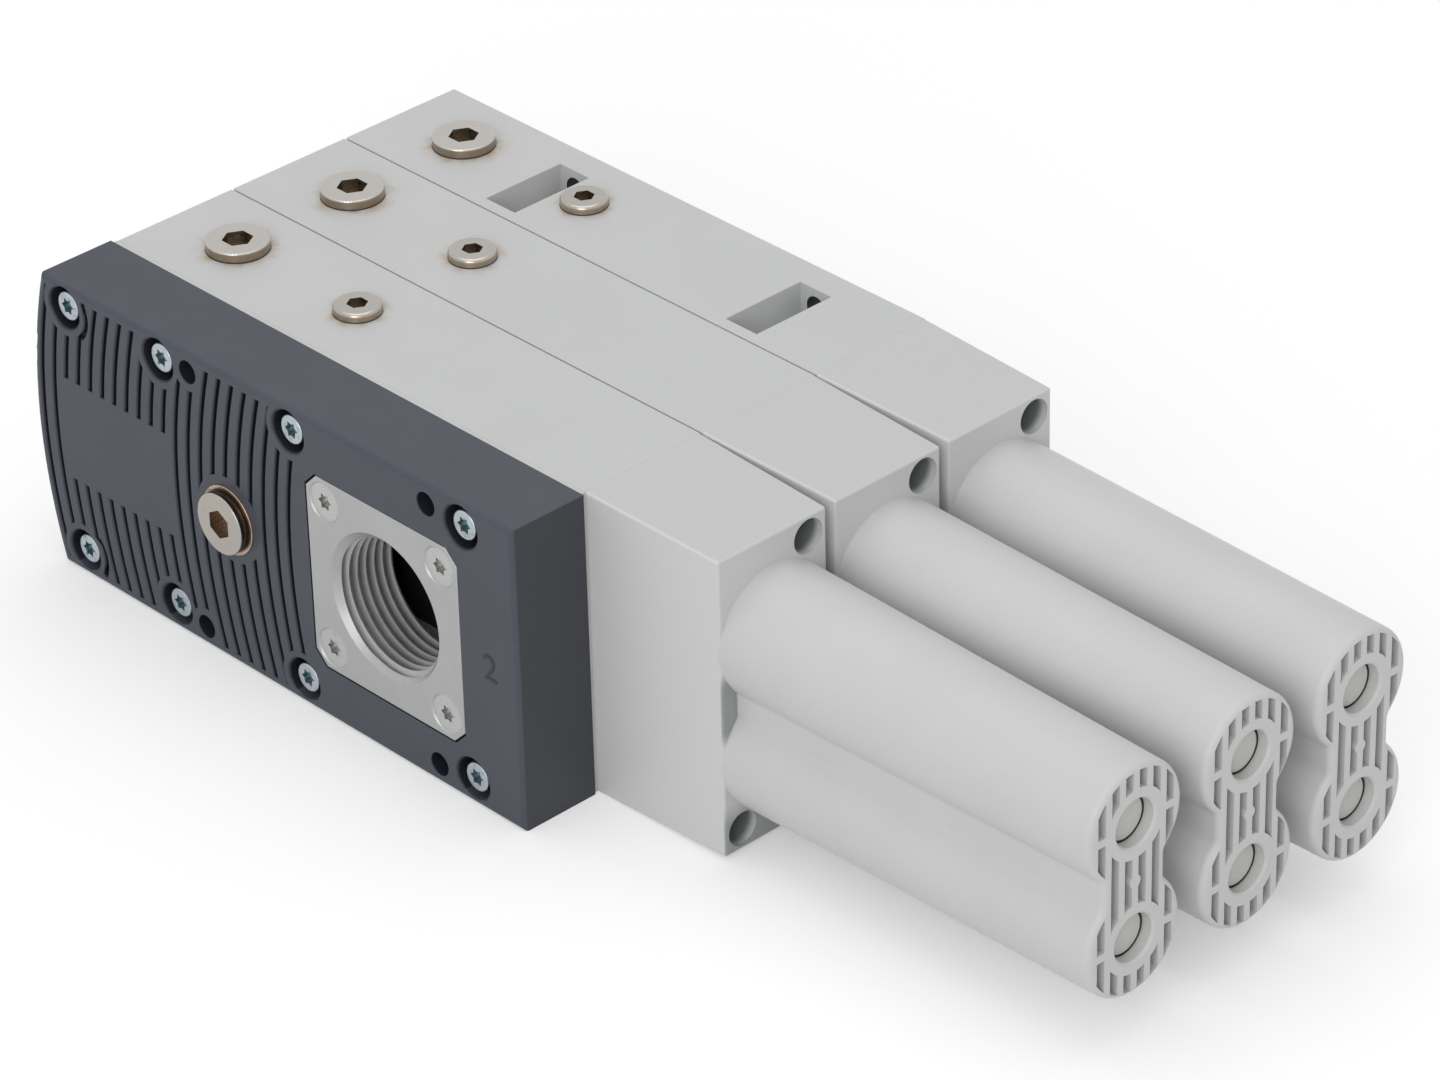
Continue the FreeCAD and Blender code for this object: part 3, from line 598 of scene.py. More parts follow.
@dataclass(frozen=True)
class StainedHousing(Moulded):
    """A module's plastic: a faint rusty ring round each plug, painted shade in the bolt holes, painted light
    on the pocket floors.
    """

    floor: Colour = (0.78, 0.785, 0.78)
    lit_floor_span: Span = (1.0, 2.0)
    bore_shade: Colour = (0.055, 0.060, 0.068)
    hole_radius: float = 2.75
    hole_margins: Span = (0.08, 0.03)
    holes_x: Span = (48.3, 124.2)
    holes_z: Span = (4.7, 68.3)
    stain: Colour = (0.47, 0.39, 0.29)
    stain_share: float = 0.95
    stain_size: float = 3.2
    stain_span: Span = (0.38, 0.68)
    ring_span: Span = (1.55, 0.98)
    skin: float = 0.6

    def body_colour(self, sketch: Sketch) -> Socket:
        """Lays painted light on pocket floors, painted shade in bolt holes, and stains over the plastic's
        colour.

        Args:
            sketch: The material so far.

        Returns:
            The colour.
        """
        below = sketch.depth(place(0.0, 0.0, Modules.height), "Z", -1.0)
        # Painted light: upward faces below the top, the pocket floors, are painted paler against their
        # shade.
        lit_floors = sketch.times(sketch.facing("Z"), sketch.span_mm(below, *self.lit_floor_span))
        colour = sketch.blend(lit_floors, super().body_colour(sketch), self.floor)
        # Painted shade: the walls of the bolt holes are painted dark.
        holes = ((x, 0.0, z) for x in self.holes_x for z in self.holes_z)
        shaded_bores = sketch.walls(holes, "Y", self.hole_radius, self.hole_margins)
        colour = sketch.blend(shaded_bores, colour, self.bore_shade)
        top = sketch.span_mm(below, self.skin, 0.0)
        broken = sketch.span(sketch.noise(self.stain_size, detail=3.0), *self.stain_span)
        for plug in TopPlugs.seats():
            away = sketch.distance_from(plug.centre, "Z")
            ring = sketch.span_mm(away, *(plug.radius * share for share in self.ring_span))
            share = sketch.times(sketch.times(ring, broken), top)
            colour = sketch.blend(sketch.times(share, self.stain_share), colour, self.stain)
        return colour


@dataclass(frozen=True)
class SilencerPlastic(Moulded):
    """A silencer's plastic, with painted shade in the gap round each core's nose and in the screws'
    recesses.

    The block is painted a little paler than the tubes on its sides and darker on top, as painted light and
    shade.
    """

    aged_share: float = 0.06
    side_light_gain: float = 1.08
    top_shade_gain: float = 0.95
    block_span: Span = (0.2, 0.6)
    gap_shade: Colour = (0.05, 0.05, 0.045)
    gap_shade_span: Span = (-0.1, 0.05)
    shadow: Colour = (0.13, 0.16, 0.16)
    shadow_share: float = 0.85
    recess_span: Span = (0.8, 3.0)
    wall_margins: Span = (0.15, 0.05)
    face_span: Span = (0.5, 0.1)
    waist_span: Span = (9.0, 5.0)
    waist_share: float = 0.60
    foot_span: Span = (-23.0, -29.0)
    foot_share: float = 0.55

    def body_colour(self, sketch: Sketch) -> Socket:
        """Lays the block's painted light and shade and the painted shade of gaps, corners and recesses over
        the colour.

        Args:
            sketch: The material so far.

        Returns:
            The colour.
        """
        depth = sketch.depth(place(Recesses.face_x, 0.0, 0.0), "X", -1.0)
        block = sketch.span_mm(depth, *self.block_span)
        # Painted light and shade: the block's sides are painted lighter and its top darker.
        lit_block = sketch.blend(sketch.facing("Z"), self.shade(self.side_light_gain), self.shade(self.top_shade_gain))
        colour = sketch.blend(block, super().body_colour(sketch), lit_block)
        # Painted shade in the gap between each core's nose and its tube.
        start, full = (Mouths.nose_depth + step for step in self.gap_shade_span)
        shaded_gaps = self.inside(sketch, Mouths.middles(), Mouths.radius, (start, full))
        colour = sketch.blend(shaded_gaps, colour, self.gap_shade)
        # Painted shadow on the end face between the tubes and under the lower one.
        colour = sketch.blend(self.corners(sketch, depth), colour, self.shadow)
        recesses = self.inside(sketch, Recesses.middles(), Recesses.radius, self.recess_span)
        return sketch.blend(sketch.times(recesses, self.shadow_share), colour, self.shadow)

    def corners(self, sketch: Sketch, depth: Socket) -> Socket:
        """Finds the block's end face between its two tubes and below the lower one, where shade is painted.

        Args:
            sketch: The material so far.
            depth: How far a point lies behind the end face.

        Returns:
            The share of painted shadow.
        """
        face = sketch.span_mm(sketch.math("ABSOLUTE", depth), *self.face_span)
        height = sketch.depth(place(0.0, 0.0, Modules.height / 2), "Z", 1.0)
        waist = sketch.span_mm(sketch.math("ABSOLUTE", height), *self.waist_span)
        foot = sketch.span_mm(height, *self.foot_span)
        both = sketch.math("ADD", sketch.times(waist, self.waist_share),
                           sketch.times(foot, self.foot_share))
        return sketch.times(face, both)

    def inside(self, sketch: Sketch, middles: list[Place], radius: float, depths: Span) -> Socket:
        """Finds the walls of round holes along X, from a depth on.

        Args:
            sketch: The material so far.
            middles: The middle of each hole's mouth.
            radius: The holes' radius.
            depths: Where the result leaves 0, and where it is 1.

        Returns:
            1 on the walls, 0 elsewhere.
        """
        behind = sketch.span_mm(sketch.depth(place(*middles[0]), "X", -1.0), *depths)
        return sketch.times(behind, sketch.walls(middles, "X", radius, self.wall_margins))


@dataclass(frozen=True)
class Machined(Finish):
    """Bare machined metal with fine rings from the cutting tool round an axis along Y."""

    gloss_spread: float = 0.08
    centre_x: float = 0.0
    centre_z: float = 0.0
    ring_pitch: float = 0.28
    ring_depth: float = 0.006

    def paint(self, sketch: Sketch) -> None:
        """Adds patches, tool rings and a little handling wear.

        Args:
            sketch: The material so far.
        """
        sketch.base(self.patches(sketch))
        self.gloss(sketch)
        away = sketch.distance_from(place(self.centre_x, 0.0, self.centre_z), "Y")
        turns = sketch.times(away, math.tau / (self.ring_pitch * MM))
        sketch.bump(sketch.scale(sketch.math("SINE", turns), 0.0, 1.0), self.ring_depth)
        self.grain(sketch)


@dataclass(frozen=True)
class Plated(Finish):
    """Plated steel or brass: bright, with tarnish that gathers in patches."""

    metallic: float = 1.0
    grain_depth: float = 0.006
    tarnish: Colour = (0.30, 0.24, 0.18)
    tarnish_span: Span = (0.50, 0.80)
    tarnish_size: float = 2.6
    dulling: float = 0.25
    brushing: Place = (1.0, 1.0, 0.2)

    def paint(self, sketch: Sketch) -> None:
        """Adds the tarnish, which is also duller, and fine scratches.

        Args:
            sketch: The material so far.
        """
        patch = sketch.span(sketch.noise(self.tarnish_size, detail=4.0), *self.tarnish_span)
        plated = sketch.blend(patch, self.patches(sketch), self.tarnish)
        sketch.base(self.cover(sketch, plated))
        sketch.roughness(sketch.scale(patch, self.roughness, self.roughness + self.dulling))
        sketch.bump(sketch.noise(self.grain_size, detail=3.0, stretch=self.brushing), self.grain_depth)

    def cover(self, sketch: Sketch, plated: Socket) -> Socket:
        """The colour with what lies on the plating, which is nothing here."""
        return plated


@dataclass(frozen=True)
class Headed(Plated):
    """A plated screw or plug, whose socket and sides are darker than the face of its head, partly grease and
    partly painted shade.
    """

    axis: str = "Y"
    inward: float = 1.0
    face: float = 0.0
    deep: Colour = (0.40, 0.35, 0.29)
    deep_span: Span = (0.25, 0.6)
    side: Colour = (0.34, 0.27, 0.20)
    middles: tuple[Place, ...] = ()
    socket_radius: float = 0.0
    socket_span: Span = (1.04, 1.12)

    def cover(self, sketch: Sketch, plated: Socket) -> Socket:
        """Adds the dark of the socket and of the sides, partly grease and partly painted shade.

        Args:
            sketch: The material so far.
            plated: The plating's colour.

        Returns:
            The colour.
        """
        face = place(*(self.face if letter == self.axis else 0.0 for letter in "XYZ"))
        # Painted shade, with some grease: the socket and the head's sides take darker colours.
        behind = sketch.span_mm(sketch.depth(face, self.axis, self.inward), *self.deep_span)
        if not self.middles:
            return sketch.blend(behind, plated, self.deep)
        away = sketch.nearest(self.middles, self.axis)
        outside = sketch.span_mm(away, *(self.socket_radius * share for share in self.socket_span))
        return sketch.blend(behind, plated, sketch.blend(outside, self.deep, self.side))


@dataclass(frozen=True)
class SealRing(Plated):
    """The front plug's soft copper ring, darker inside a narrow band at its rim."""

    radius: float = 8.1
    rim: float = 0.55
    rim_blur: float = 0.35
    inner_dark: Colour = (0.085, 0.062, 0.048)

    def cover(self, sketch: Sketch, plated: Socket) -> Socket:
        """Darkens the copper inside the rim.

        Args:
            sketch: The material so far.
            plated: The copper's colour.

        Returns:
            The colour.
        """
        edge = self.radius - self.rim
        away = sketch.distance_from(place(*Plate.plug), "Y")
        return sketch.blend(sketch.span_mm(away, edge - self.rim_blur, edge), self.inner_dark, plated)


@dataclass(frozen=True)
class Sintered(Finish):
    """A porous core: fused beads with dark pores between them, and painted shade in a rim round its nose."""

    bead: float = 0.34
    pore_shade: float = 0.92
    pore_span: Span = (0.45, 0.85)
    rim: Colour = (0.06, 0.06, 0.05)
    rim_width: float = 0.30
    rim_blur: float = 0.12

    def paint(self, sketch: Sketch) -> None:
        """Adds the beads as colour and relief, and painted shade round the nose's rim.

        Args:
            sketch: The material so far.
        """
        pores = sketch.span(sketch.cells(self.bead), *self.pore_span)
        colour = sketch.blend(pores, self.patches(sketch), self.shade(self.pore_shade))
        # Painted shade where the nose meets the gap in its tube.
        edge = Mouths.nose_radius - self.rim_width
        rim = sketch.span_mm(sketch.nearest(Mouths.middles(), "X"), edge, edge + self.rim_blur)
        sketch.base(sketch.blend(rim, colour, self.rim))
        sketch.bump(sketch.math("SUBTRACT", 1.0, pores), self.grain_depth)


class Workshop:
    """Turns finished mesh work into pieces of the scene."""

    sharp_angle: float = math.radians(32)
    weld: float = 2e-6

    @classmethod
    def piece(cls, name: str, bm: bmesh.types.BMesh, slot: Slot,
              finish: bpy.types.Material) -> bpy.types.Object:
        """Makes an object of a bmesh, with smooth faces and sharp creases.

        Args:
            name: The piece's name.
            bm: The mesh work, which is freed.
            slot: The material slot of the record; not used.
            finish: Its material.

        Returns:
            The new object, riding on the ejector.
        """
        for face in bm.faces:
            face.smooth = True
        for edge in bm.edges:
            edge.smooth = edge.is_manifold and edge.calc_face_angle(0.0) < cls.sharp_angle
        mesh = bpy.data.meshes.new(name)
        bm.to_mesh(mesh)
        bm.free()
        piece = bpy.data.objects.new(name, mesh)
        bpy.context.scene.collection.objects.link(piece)
        mesh.materials.append(finish)
        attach(piece, BODY)
        log.info("%s: %d faces", name, len(mesh.polygons))
        return piece


@dataclass
class VacuumPort:
    """The square flange with its pipe thread, cut to the thread's full form."""

    centre_x: float = 109.2
    centre_z: float = 36.5
    depth: float = 16.0
    mouth_radius: float = 17.0
    core_radius: float = 15.15
    bore_margin: float = 0.1
    root_radius: float = 16.6
    pitch: float = 2.309
    crest: float = 0.16
    flank_steps: int = 4
    steps: int = 72
    lead_turns: int = 2
    spare_turns: int = 3

    @property
    def mouth(self) -> Vector:
        """The middle of the port's mouth, in the frame."""
        return place(self.centre_x, Plate.face_y, self.centre_z)

    def radius_at(self, point: Vector) -> float:
        """A point's distance from the port's axis, in metres."""
        off = point - self.mouth
        return math.hypot(off.x, off.z)

    def set_radius(self, vert: bmesh.types.BMVert, radius: float) -> None:
        """Moves a vertex straight out from the axis.

        Args:
            vert: The vertex.
            radius: Its new distance from the axis, in metres.
        """
        off = vert.co - self.mouth
        share = radius / self.radius_at(vert.co)
        vert.co = self.mouth + Vector((off.x * share, off.y, off.z * share))

    def bored_flange(self) -> bmesh.types.BMesh:
        """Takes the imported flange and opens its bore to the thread's outside.

        Returns:
            The flange's mesh work.
        """
        bm = bmesh.new()
        bm.from_mesh(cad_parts["port_flange"].data)
        bmesh.ops.remove_doubles(bm, verts=bm.verts, dist=Workshop.weld)
        edge = (self.core_radius + self.bore_margin) * MM
        bore = [vert for vert in bm.verts if self.radius_at(vert.co) < edge]
        widen = self.mouth_radius / self.core_radius
        bmesh.ops.scale(bm, vec=(widen, 1.0, widen), space=Matrix.Translation(-self.mouth), verts=bore)
        return bm

    def profile(self) -> list[tuple[float, float]]:
        """Draws one pitch of the thread's wall.

        Returns:
            Its points, as (distance along, radius) in millimetres.
        """
        flank = 0.5 - self.crest
        shares = [step / self.flank_steps for step in range(self.flank_steps + 1)]
        down = [(self.crest / 2 + flank * share, self.wall(share)) for share in shares]
        back = [(0.5 + self.crest / 2 + flank * share, self.wall(1.0 - share)) for share in shares]
        points = [(0.0, self.core_radius), *down, *back, (1.0, self.core_radius)]
        return [(along * self.pitch, radius) for along, radius in points]

    def wall(self, share: float) -> float:
        """The thread's radius at a share of the way from crest to root."""
        return self.core_radius + (self.root_radius - self.core_radius) * share

    def thread(self, bm: bmesh.types.BMesh) -> None:
        """Winds the thread's wall into the bore, and closes it at its back and outside.

        Args:
            bm: The mesh work that it is added to.
        """
        turns = math.ceil(self.depth / self.pitch) + self.spare_turns
        start = self.mouth - Vector((0.0, self.lead_turns * self.pitch * MM, 0.0))
        verts = [bm.verts.new(start + Vector((radius, along, 0.0)) * MM) for along, radius in self.profile()]
        edges = [bm.edges.new(pair) for pair in zip(verts, verts[1:])]
        bmesh.ops.spin(bm, geom=verts + edges, cent=self.mouth, axis=(0.0, 1.0, 0.0),
                       dvec=(0.0, self.pitch * MM / self.steps, 0.0), angle=math.tau * turns,
                       steps=self.steps * turns, use_merge=False)
        bmesh.ops.remove_doubles(bm, verts=bm.verts, dist=Workshop.weld)
        end = self.mouth + Vector((0.0, self.depth * MM, 0.0))
        for point, out in ((self.mouth, (0.0, -1.0, 0.0)), (end, (0.0, 1.0, 0.0))):
            bmesh.ops.bisect_plane(bm, geom=bm.verts[:] + bm.edges[:] + bm.faces[:],
                                   plane_co=point, plane_no=out, clear_outer=True)
        self.countersink(bm)
        self.close(bm)

    def countersink(self, bm: bmesh.types.BMesh) -> None:
        """Cuts the thread's first turns back to the mouth's 45 degree cone.

        Args:
            bm: The thread's mesh work.
        """
        for vert in bm.verts:
            cone = self.mouth_radius * MM - (vert.co.y - self.mouth.y)
            if self.radius_at(vert.co) < cone:
                self.set_radius(vert, cone)

    def close(self, bm: bmesh.types.BMesh) -> None:
        """Adds the ring at the thread's back end and the wall behind it.

        Args:
            bm: The thread's mesh work.
        """
        rims = [edge for edge in bm.edges if edge.is_boundary]
        middle = self.mouth.y + self.depth * MM / 2
        front = [edge for edge in rims if edge.verts[0].co.y < middle]
        back = [edge for edge in rims if edge.verts[0].co.y >= middle]
        ring = bmesh.ops.extrude_edge_only(bm, edges=back)["geom"]
        for vert in (item for item in ring if isinstance(item, bmesh.types.BMVert)):
            self.set_radius(vert, self.mouth_radius * MM)
        outer = [item for item in ring if isinstance(item, bmesh.types.BMEdge) and item.is_boundary]
        bmesh.ops.bridge_loops(bm, edges=front + outer)

    def build(self, finish: bpy.types.Material) -> None:
        """Makes the threaded flange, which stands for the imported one.

        Args:
            finish: Its material.
        """
        liner = bmesh.new()
        self.thread(liner)
        bmesh.ops.recalc_face_normals(liner, faces=liner.faces)
        wound = bpy.data.meshes.new("thread_work")
        liner.to_mesh(wound)
        liner.free()
        bm = self.bored_flange()
        bm.from_mesh(wound)
        bpy.data.meshes.remove(wound)
        flange = Workshop.piece("threaded_flange", bm, Slot.FLANGE, finish)
        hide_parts("port_flange")


@dataclass
class PortNumber:
    """The plain number moulded into the plate beside the vacuum port."""

    digit: str = "2"
    centre_x: float = 141.8
    centre_z: float = 36.6
    height: float = 6.2
    relief: float = 0.10
    curve_steps: int = 6
    sheet: float = 0.02
    weld: float = 1e-5

    def build(self, finish: bpy.types.Material) -> None:
        """Sets the digit on the plate's face.

        Args:
            finish: Its material.
        """
        text = bpy.data.curves.new("port_number", "FONT")
        text.body = self.digit
        text.align_x = "CENTER"
        text.align_y = "CENTER"
        text.size = 1.0
        text.resolution_u = self.curve_steps
        text.extrude = self.sheet
        letters = bpy.data.objects.new("port_number_text", text)
        bpy.context.scene.collection.objects.link(letters)
        bpy.context.view_layer.update()
        mesh = bpy.data.meshes.new_from_object(letters)
        bpy.data.objects.remove(letters)
        bm = bmesh.new()
        bm.from_mesh(mesh)
        bpy.data.meshes.remove(mesh)
        bmesh.ops.remove_doubles(bm, verts=bm.verts, dist=self.weld)
        self.fit(bm)
        Workshop.piece("port_number", bm, Slot.PLATE, finish)

    def fit(self, bm: bmesh.types.BMesh) -> None:
        """Scales the digit to its height, stands it up and puts it in its place.

        Args:
            bm: The digit's mesh work, flat and one unit high.
        """
        low = Vector([min(vert.co[axis] for vert in bm.verts) for axis in range(3)])
        high = Vector([max(vert.co[axis] for vert in bm.verts) for axis in range(3)])
        grow = self.height * MM / (high.y - low.y)
        thick = 2 * self.relief * MM / (high.z - low.z)
        stand = Matrix.Rotation(math.pi / 2, 3, "X")
        bmesh.ops.translate(bm, vec=-(low + high) / 2, verts=bm.verts)
        bmesh.ops.scale(bm, vec=(grow, grow, thick), verts=bm.verts)
        bmesh.ops.rotate(bm, cent=(0, 0, 0), matrix=stand, verts=bm.verts)
        bmesh.ops.translate(bm, vec=place(self.centre_x, Plate.face_y, self.centre_z), verts=bm.verts)


@dataclass
class Wardrobe:
    """Every finish of the ejector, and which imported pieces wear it."""

    slate: Finish = Anodised("slate_anodised", (0.060, 0.067, 0.085), 0.52, grain_depth=0.018)
    number: Finish = Plain("number_ink", (0.018, 0.020, 0.030), 0.6)
    housing: Finish = StainedHousing("housing_grey", (0.555, 0.56, 0.56), 0.46, drift=0.02)
    silencer: Finish = SilencerPlastic("silencer_grey", (0.585, 0.59, 0.585), 0.46, drift=0.02)
    flange: Finish = Machined(
        "machined_aluminium", (0.43, 0.435, 0.43), 0.44, metallic=0.75, drift=0.04, grain_depth=0.008,
        centre_x=VacuumPort.centre_x, centre_z=VacuumPort.centre_z)
    screw: Finish = Plated(
        "blackened_steel", (0.16, 0.16, 0.17), 0.40, drift=0.06, tarnish=(0.10, 0.10, 0.10),
        tarnish_span=(0.55, 0.80))
    clamp_screw: Finish = Headed(
        "zinc_plated_clamp", (0.45, 0.50, 0.53), 0.36, drift=0.08, grain_depth=0.010,
        tarnish=(0.30, 0.36, 0.39), tarnish_size=1.3, tarnish_span=(0.48, 0.80), face=-19.6,
        deep=(0.27, 0.36, 0.39))
    silencer_screw: Finish = Headed(
        "zinc_plated_silencer", (0.55, 0.56, 0.56), 0.34, tarnish=(0.30, 0.30, 0.29), axis="X",
        inward=-1.0, face=180.6, deep=(0.05, 0.05, 0.05))
    flange_screw: Finish = Headed(
        "steel_plated", (0.50, 0.51, 0.50), 0.38, tarnish=(0.40, 0.40, 0.38),
        tarnish_span=(0.55, 0.80), face=-20.35, deep=(0.55, 0.55, 0.53))
    air_plug: Finish = Headed(
        "nickel_plated_large", (0.475, 0.455, 0.425), 0.25, drift=0.04, tarnish=(0.46, 0.39, 0.31),
        tarnish_span=(0.60, 0.80), axis="Z", inward=-1.0, face=75.4, socket_radius=3.5,
        middles=TopPlugs.middles(TopPlugs.large_x))
    gauge_plug: Finish = Headed(
        "nickel_plated_small", (0.42, 0.40, 0.37), 0.25, drift=0.04, tarnish=(0.46, 0.39, 0.31),
        tarnish_span=(0.60, 0.80), axis="Z", inward=-1.0, face=75.1, socket_radius=2.4,
        side=(0.40, 0.33, 0.26), middles=TopPlugs.middles(TopPlugs.small_x))
    front_plug: Finish = Headed(
        "nickel_plated_front", (0.41, 0.38, 0.345), 0.26, drift=0.04, tarnish=(0.44, 0.37, 0.29),
        tarnish_span=(0.60, 0.80), face=-23.6, socket_radius=3.5, deep=(0.46, 0.38, 0.31),
        side=(0.11, 0.088, 0.068), middles=(Plate.plug,))
    copper: Finish = SealRing("soft_copper", (0.46, 0.34, 0.27), 0.36, drift=0.08, grain_depth=0.01)
    brass: Finish = Plated("turned_brass", (0.65, 0.48, 0.20), 0.30)
    rubber: Finish = Plain("black_rubber", (0.028, 0.028, 0.030), 0.72)
    gasket: Finish = Plain("pale_gasket", (0.56, 0.56, 0.545), 0.6, drift=0.04)
    inner: Finish = Plain("dark_moulding", (0.045, 0.047, 0.052), 0.50)
    core: Finish = Sintered("sintered_core", (0.60, 0.60, 0.565), 0.75, drift=0.03, grain_depth=0.03)

    def choose(self, node: str) -> Finish:
        """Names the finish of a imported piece.

        Args:
            node: The piece's name in the frame.

        Returns:
            Its finish.
        """
        kinds = (("connection_plate", self.slate), ("module_housing", self.housing),
                 ("port_flange_seal", self.rubber), ("port_flange_screws", self.flange_screw),
                 ("port_flange", self.flange), ("clamping_screws", self.clamp_screw),
                 ("silencer_screws", self.silencer_screw), ("flap_screws", self.screw),
                 ("front_plug_seal", self.copper), ("front_plug", self.front_plug),
                 ("air_plug_seals", self.rubber), ("gauge_plug_seals", self.rubber),
                 ("air_plugs", self.air_plug), ("gauge_plugs", self.gauge_plug),
                 ("plate_gasket", self.gasket), ("module_gasket", self.rubber),
                 ("silencer_gasket", self.rubber), ("silencer_core", self.core),
                 ("silencer", self.silencer), ("valve_plate", self.inner),
                 ("flap_valve", self.rubber), ("inlet_nozzle", self.brass),
                 ("outlet_nozzle", self.inner))
        for start, finish in kinds:
            if node.startswith(start):
                return finish
        raise KeyError(f"no finish for {node}")

    def dress(self) -> dict[str, bpy.types.Material]:
        """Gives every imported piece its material.

        Returns:
            The materials by name.
        """
        made: dict[str, bpy.types.Material] = {}
        for node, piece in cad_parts.items():
            finish = self.choose(node)
            if finish.name not in made:
                made[finish.name] = finish.material()
            piece.data.materials.clear()
            piece.data.materials.append(made[finish.name])
            log.info("%s wears %s", node, finish.name)
        made[self.number.name] = self.number.material()
        return made


@dataclass
class Camera:
    """The photograph's view, from above the silencers' side.

    The distances of eye and aim are counted in heights of a module.
    """

    azimuth: float = 47.105
    elevation: float = 31.921
    roll: float = -1.519
    focal_pixels: float = 6212.4
    image_width: float = 1440.0
    sensor: float = 36.0
    nearest: float = 0.05
    farthest: float = 50.0
    distance: float = 17.638
    aim: Place = (2.2, 0.5, 0.5)
    shift_right: float = 0.102
    shift_up: float = -0.157

    def axes(self) -> tuple[Vector, Vector, Vector]:
        """Works out the camera's right, up and back directions.

        Returns:
            The three unit vectors, with the roll in them.
        """
        turn, tilt, roll = map(math.radians, (self.azimuth, self.elevation, self.roll))
        back = Vector((math.sin(turn) * math.cos(tilt), -math.cos(turn) * math.cos(tilt), math.sin(tilt)))
        right = Vector((math.cos(turn), math.sin(turn), 0.0))
        up = back.cross(right)
        return (right * math.cos(roll) + up * math.sin(roll),
                up * math.cos(roll) - right * math.sin(roll), back)

    def build(self) -> None:
        """Makes the camera and gives it to the scene."""
        right, up, back = self.axes()
        eye = Vector(self.aim) - right * self.shift_right - up * self.shift_up + back * self.distance
        data = bpy.data.cameras.new("camera")
        data.sensor_width = self.sensor
        data.lens = self.focal_pixels * self.sensor / self.image_width
        data.clip_start, data.clip_end = self.nearest, self.farthest
        camera = bpy.data.objects.new("camera", data)
        bpy.context.scene.collection.objects.link(camera)
        turn = Matrix((right, up, back)).transposed().to_4x4()
        camera.matrix_world = Matrix.Translation(place(*(eye * Modules.height))) @ turn
        bpy.context.scene.camera = camera
        log.info("camera lens %.1f mm", data.lens)


@dataclass(frozen=True)
class Lamp:
    """A square soft lamp that faces the ejector, in metres and watts."""

    name: str
    at: Place
    side: float
    watts: float
    aim: Place = (0.0, 0.0, 0.03)

    def build(self) -> None:
        """Hangs the lamp in the scene."""
        data = bpy.data.lights.new(self.name, "AREA")
        data.size, data.energy = self.side, self.watts
        lamp = bpy.data.objects.new(self.name, data)
        lamp.location = self.at
        lamp.rotation_euler = (Vector(self.at) - Vector(self.aim)).to_track_quat("Z", "Y").to_euler()
        bpy.context.scene.collection.objects.link(lamp)


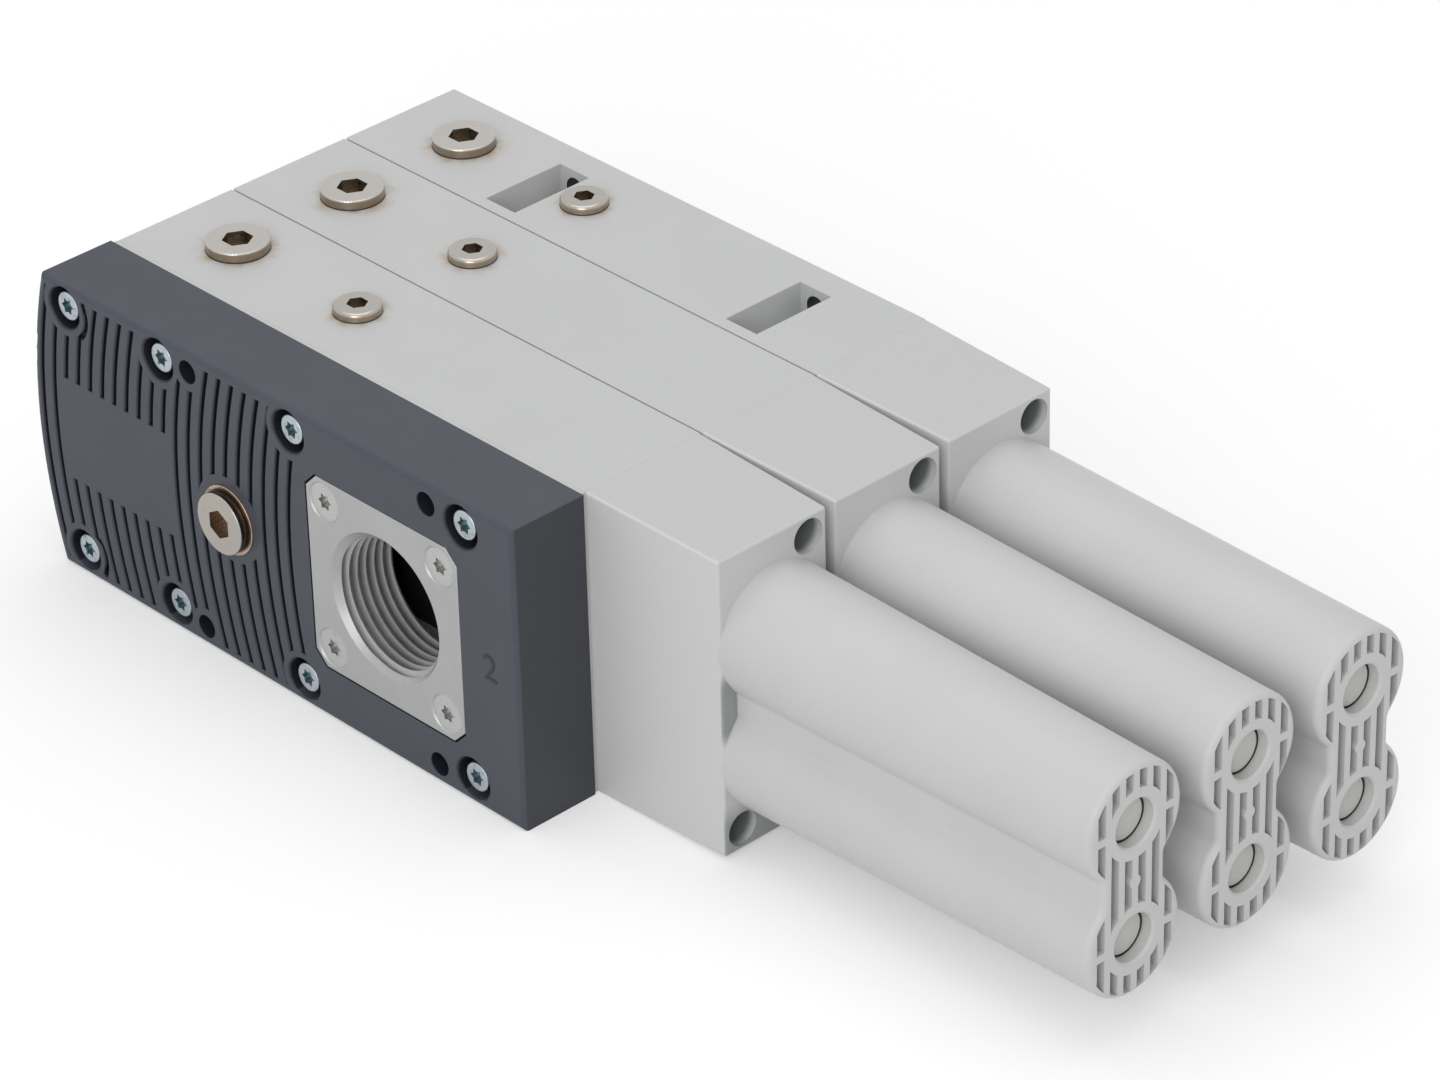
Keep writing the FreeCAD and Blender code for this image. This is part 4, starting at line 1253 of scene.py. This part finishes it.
@dataclass
class Studio:
    """A pale floor under a soft white room, with one large lamp above and one in front."""

    floor_side: float = 12.0
    floor_shade: float = 0.80
    floor_roughness: float = 0.9
    floor_lift: float = 0.30
    far_lift: float = 0.70
    far_from: float = 0.45
    far_to: float = 1.80
    room_light: float = 0.62
    lamps: tuple[Lamp, ...] = (Lamp("top_lamp", (-0.2, 0.1, 1.6), side=1.4, watts=6.0),
                               Lamp("front_lamp", (0.9, -1.4, 0.9), side=1.0, watts=10.0))

    def seen(self, nodes: Nodes) -> Socket:
        """Tells rays that are looked along from rays that light.

        Args:
            nodes: The tree that it is added to.

        Returns:
            1 for rays from the camera, glossy surfaces and glass, 0 for lighting.
        """
        rays = nodes.add("LightPath").outputs
        shown = nodes.math("MAXIMUM", rays["Is Camera Ray"], rays["Is Glossy Ray"])
        return nodes.math("MAXIMUM", shown, rays["Is Transmission Ray"])

    def room(self) -> None:
        """Makes the world: white to look at, softer as a light."""
        world = bpy.data.worlds.new("room")
        bpy.context.scene.world = world
        world.use_nodes = True
        nodes = Nodes(world.node_tree)
        background = nodes.tree.nodes["Background"].inputs
        background["Color"].default_value = WHITE
        nodes.feed(background["Strength"], nodes.scale(self.seen(nodes), self.room_light, 1.0))

    def floor(self) -> None:
        """Lays the floor, which is lifted to white except in the ejector's shadow."""
        bm = bmesh.new()
        bmesh.ops.create_grid(bm, x_segments=1, y_segments=1, size=self.floor_side / 2)
        mesh = bpy.data.meshes.new("floor")
        bm.to_mesh(mesh)
        bm.free()
        floor = bpy.data.objects.new("floor", mesh)
        bpy.context.scene.collection.objects.link(floor)
        mesh.materials.append(self.paint())
        floor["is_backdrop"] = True

    def paint(self) -> bpy.types.Material:
        """Makes the floor's material.

        Returns:
            A dull paint that also glows a little where it is looked at.
        """
        material = bpy.data.materials.new("pale_floor")
        material.use_nodes = True
        nodes = Nodes(material.node_tree)
        inputs = nodes.tree.nodes["Principled BSDF"].inputs
        inputs["Base Color"].default_value = (self.floor_shade,) * 3 + (1.0,)
        inputs["Roughness"].default_value = self.floor_roughness
        inputs["Specular IOR Level"].default_value = 0.0
        inputs["Emission Color"].default_value = WHITE
        nodes.feed(inputs["Emission Strength"], nodes.times(self.seen(nodes), self.glow(nodes)))
        return material

    def glow(self, nodes: Nodes) -> Socket:
        """Works out the floor's own light, which grows far away, where the lamps don't reach.

        Args:
            nodes: The tree that it is added to.

        Returns:
            The light's strength.
        """
        away = nodes.add("VectorMath")
        away.operation = "LENGTH"
        nodes.feed(away.inputs[0], nodes.add("TexCoord").outputs["Object"])
        rise = nodes.add("MapRange", Value=away.outputs["Value"], From_Min=self.far_from,
                         From_Max=self.far_to, To_Min=self.floor_lift,
                         To_Max=self.floor_lift + self.far_lift)
        return rise.outputs["Result"]

    def build(self) -> None:
        """Sets up the room, the floor and the lamps."""
        bpy.context.scene.view_settings.view_transform = "Standard"
        self.room()
        self.floor()
        for lamp in self.lamps:
            lamp.build()


def corners() -> list[list[float]]:
    """The shown object's lowest and highest corner, as plain numbers."""
    return [[round(value, 6) for value in corner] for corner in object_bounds()]


def main() -> None:
    """Builds the camera, the finishes, the new pieces and the studio."""
    logging.basicConfig(level=logging.INFO, format="%(name)s %(message)s")
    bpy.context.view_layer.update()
    Camera().build()
    wardrobe = Wardrobe()
    finishes = wardrobe.dress()
    VacuumPort().build(finishes[wardrobe.flange.name])
    PortNumber().build(finishes[wardrobe.number.name])
    Studio().build()


if __name__ == "__main__":
    main()
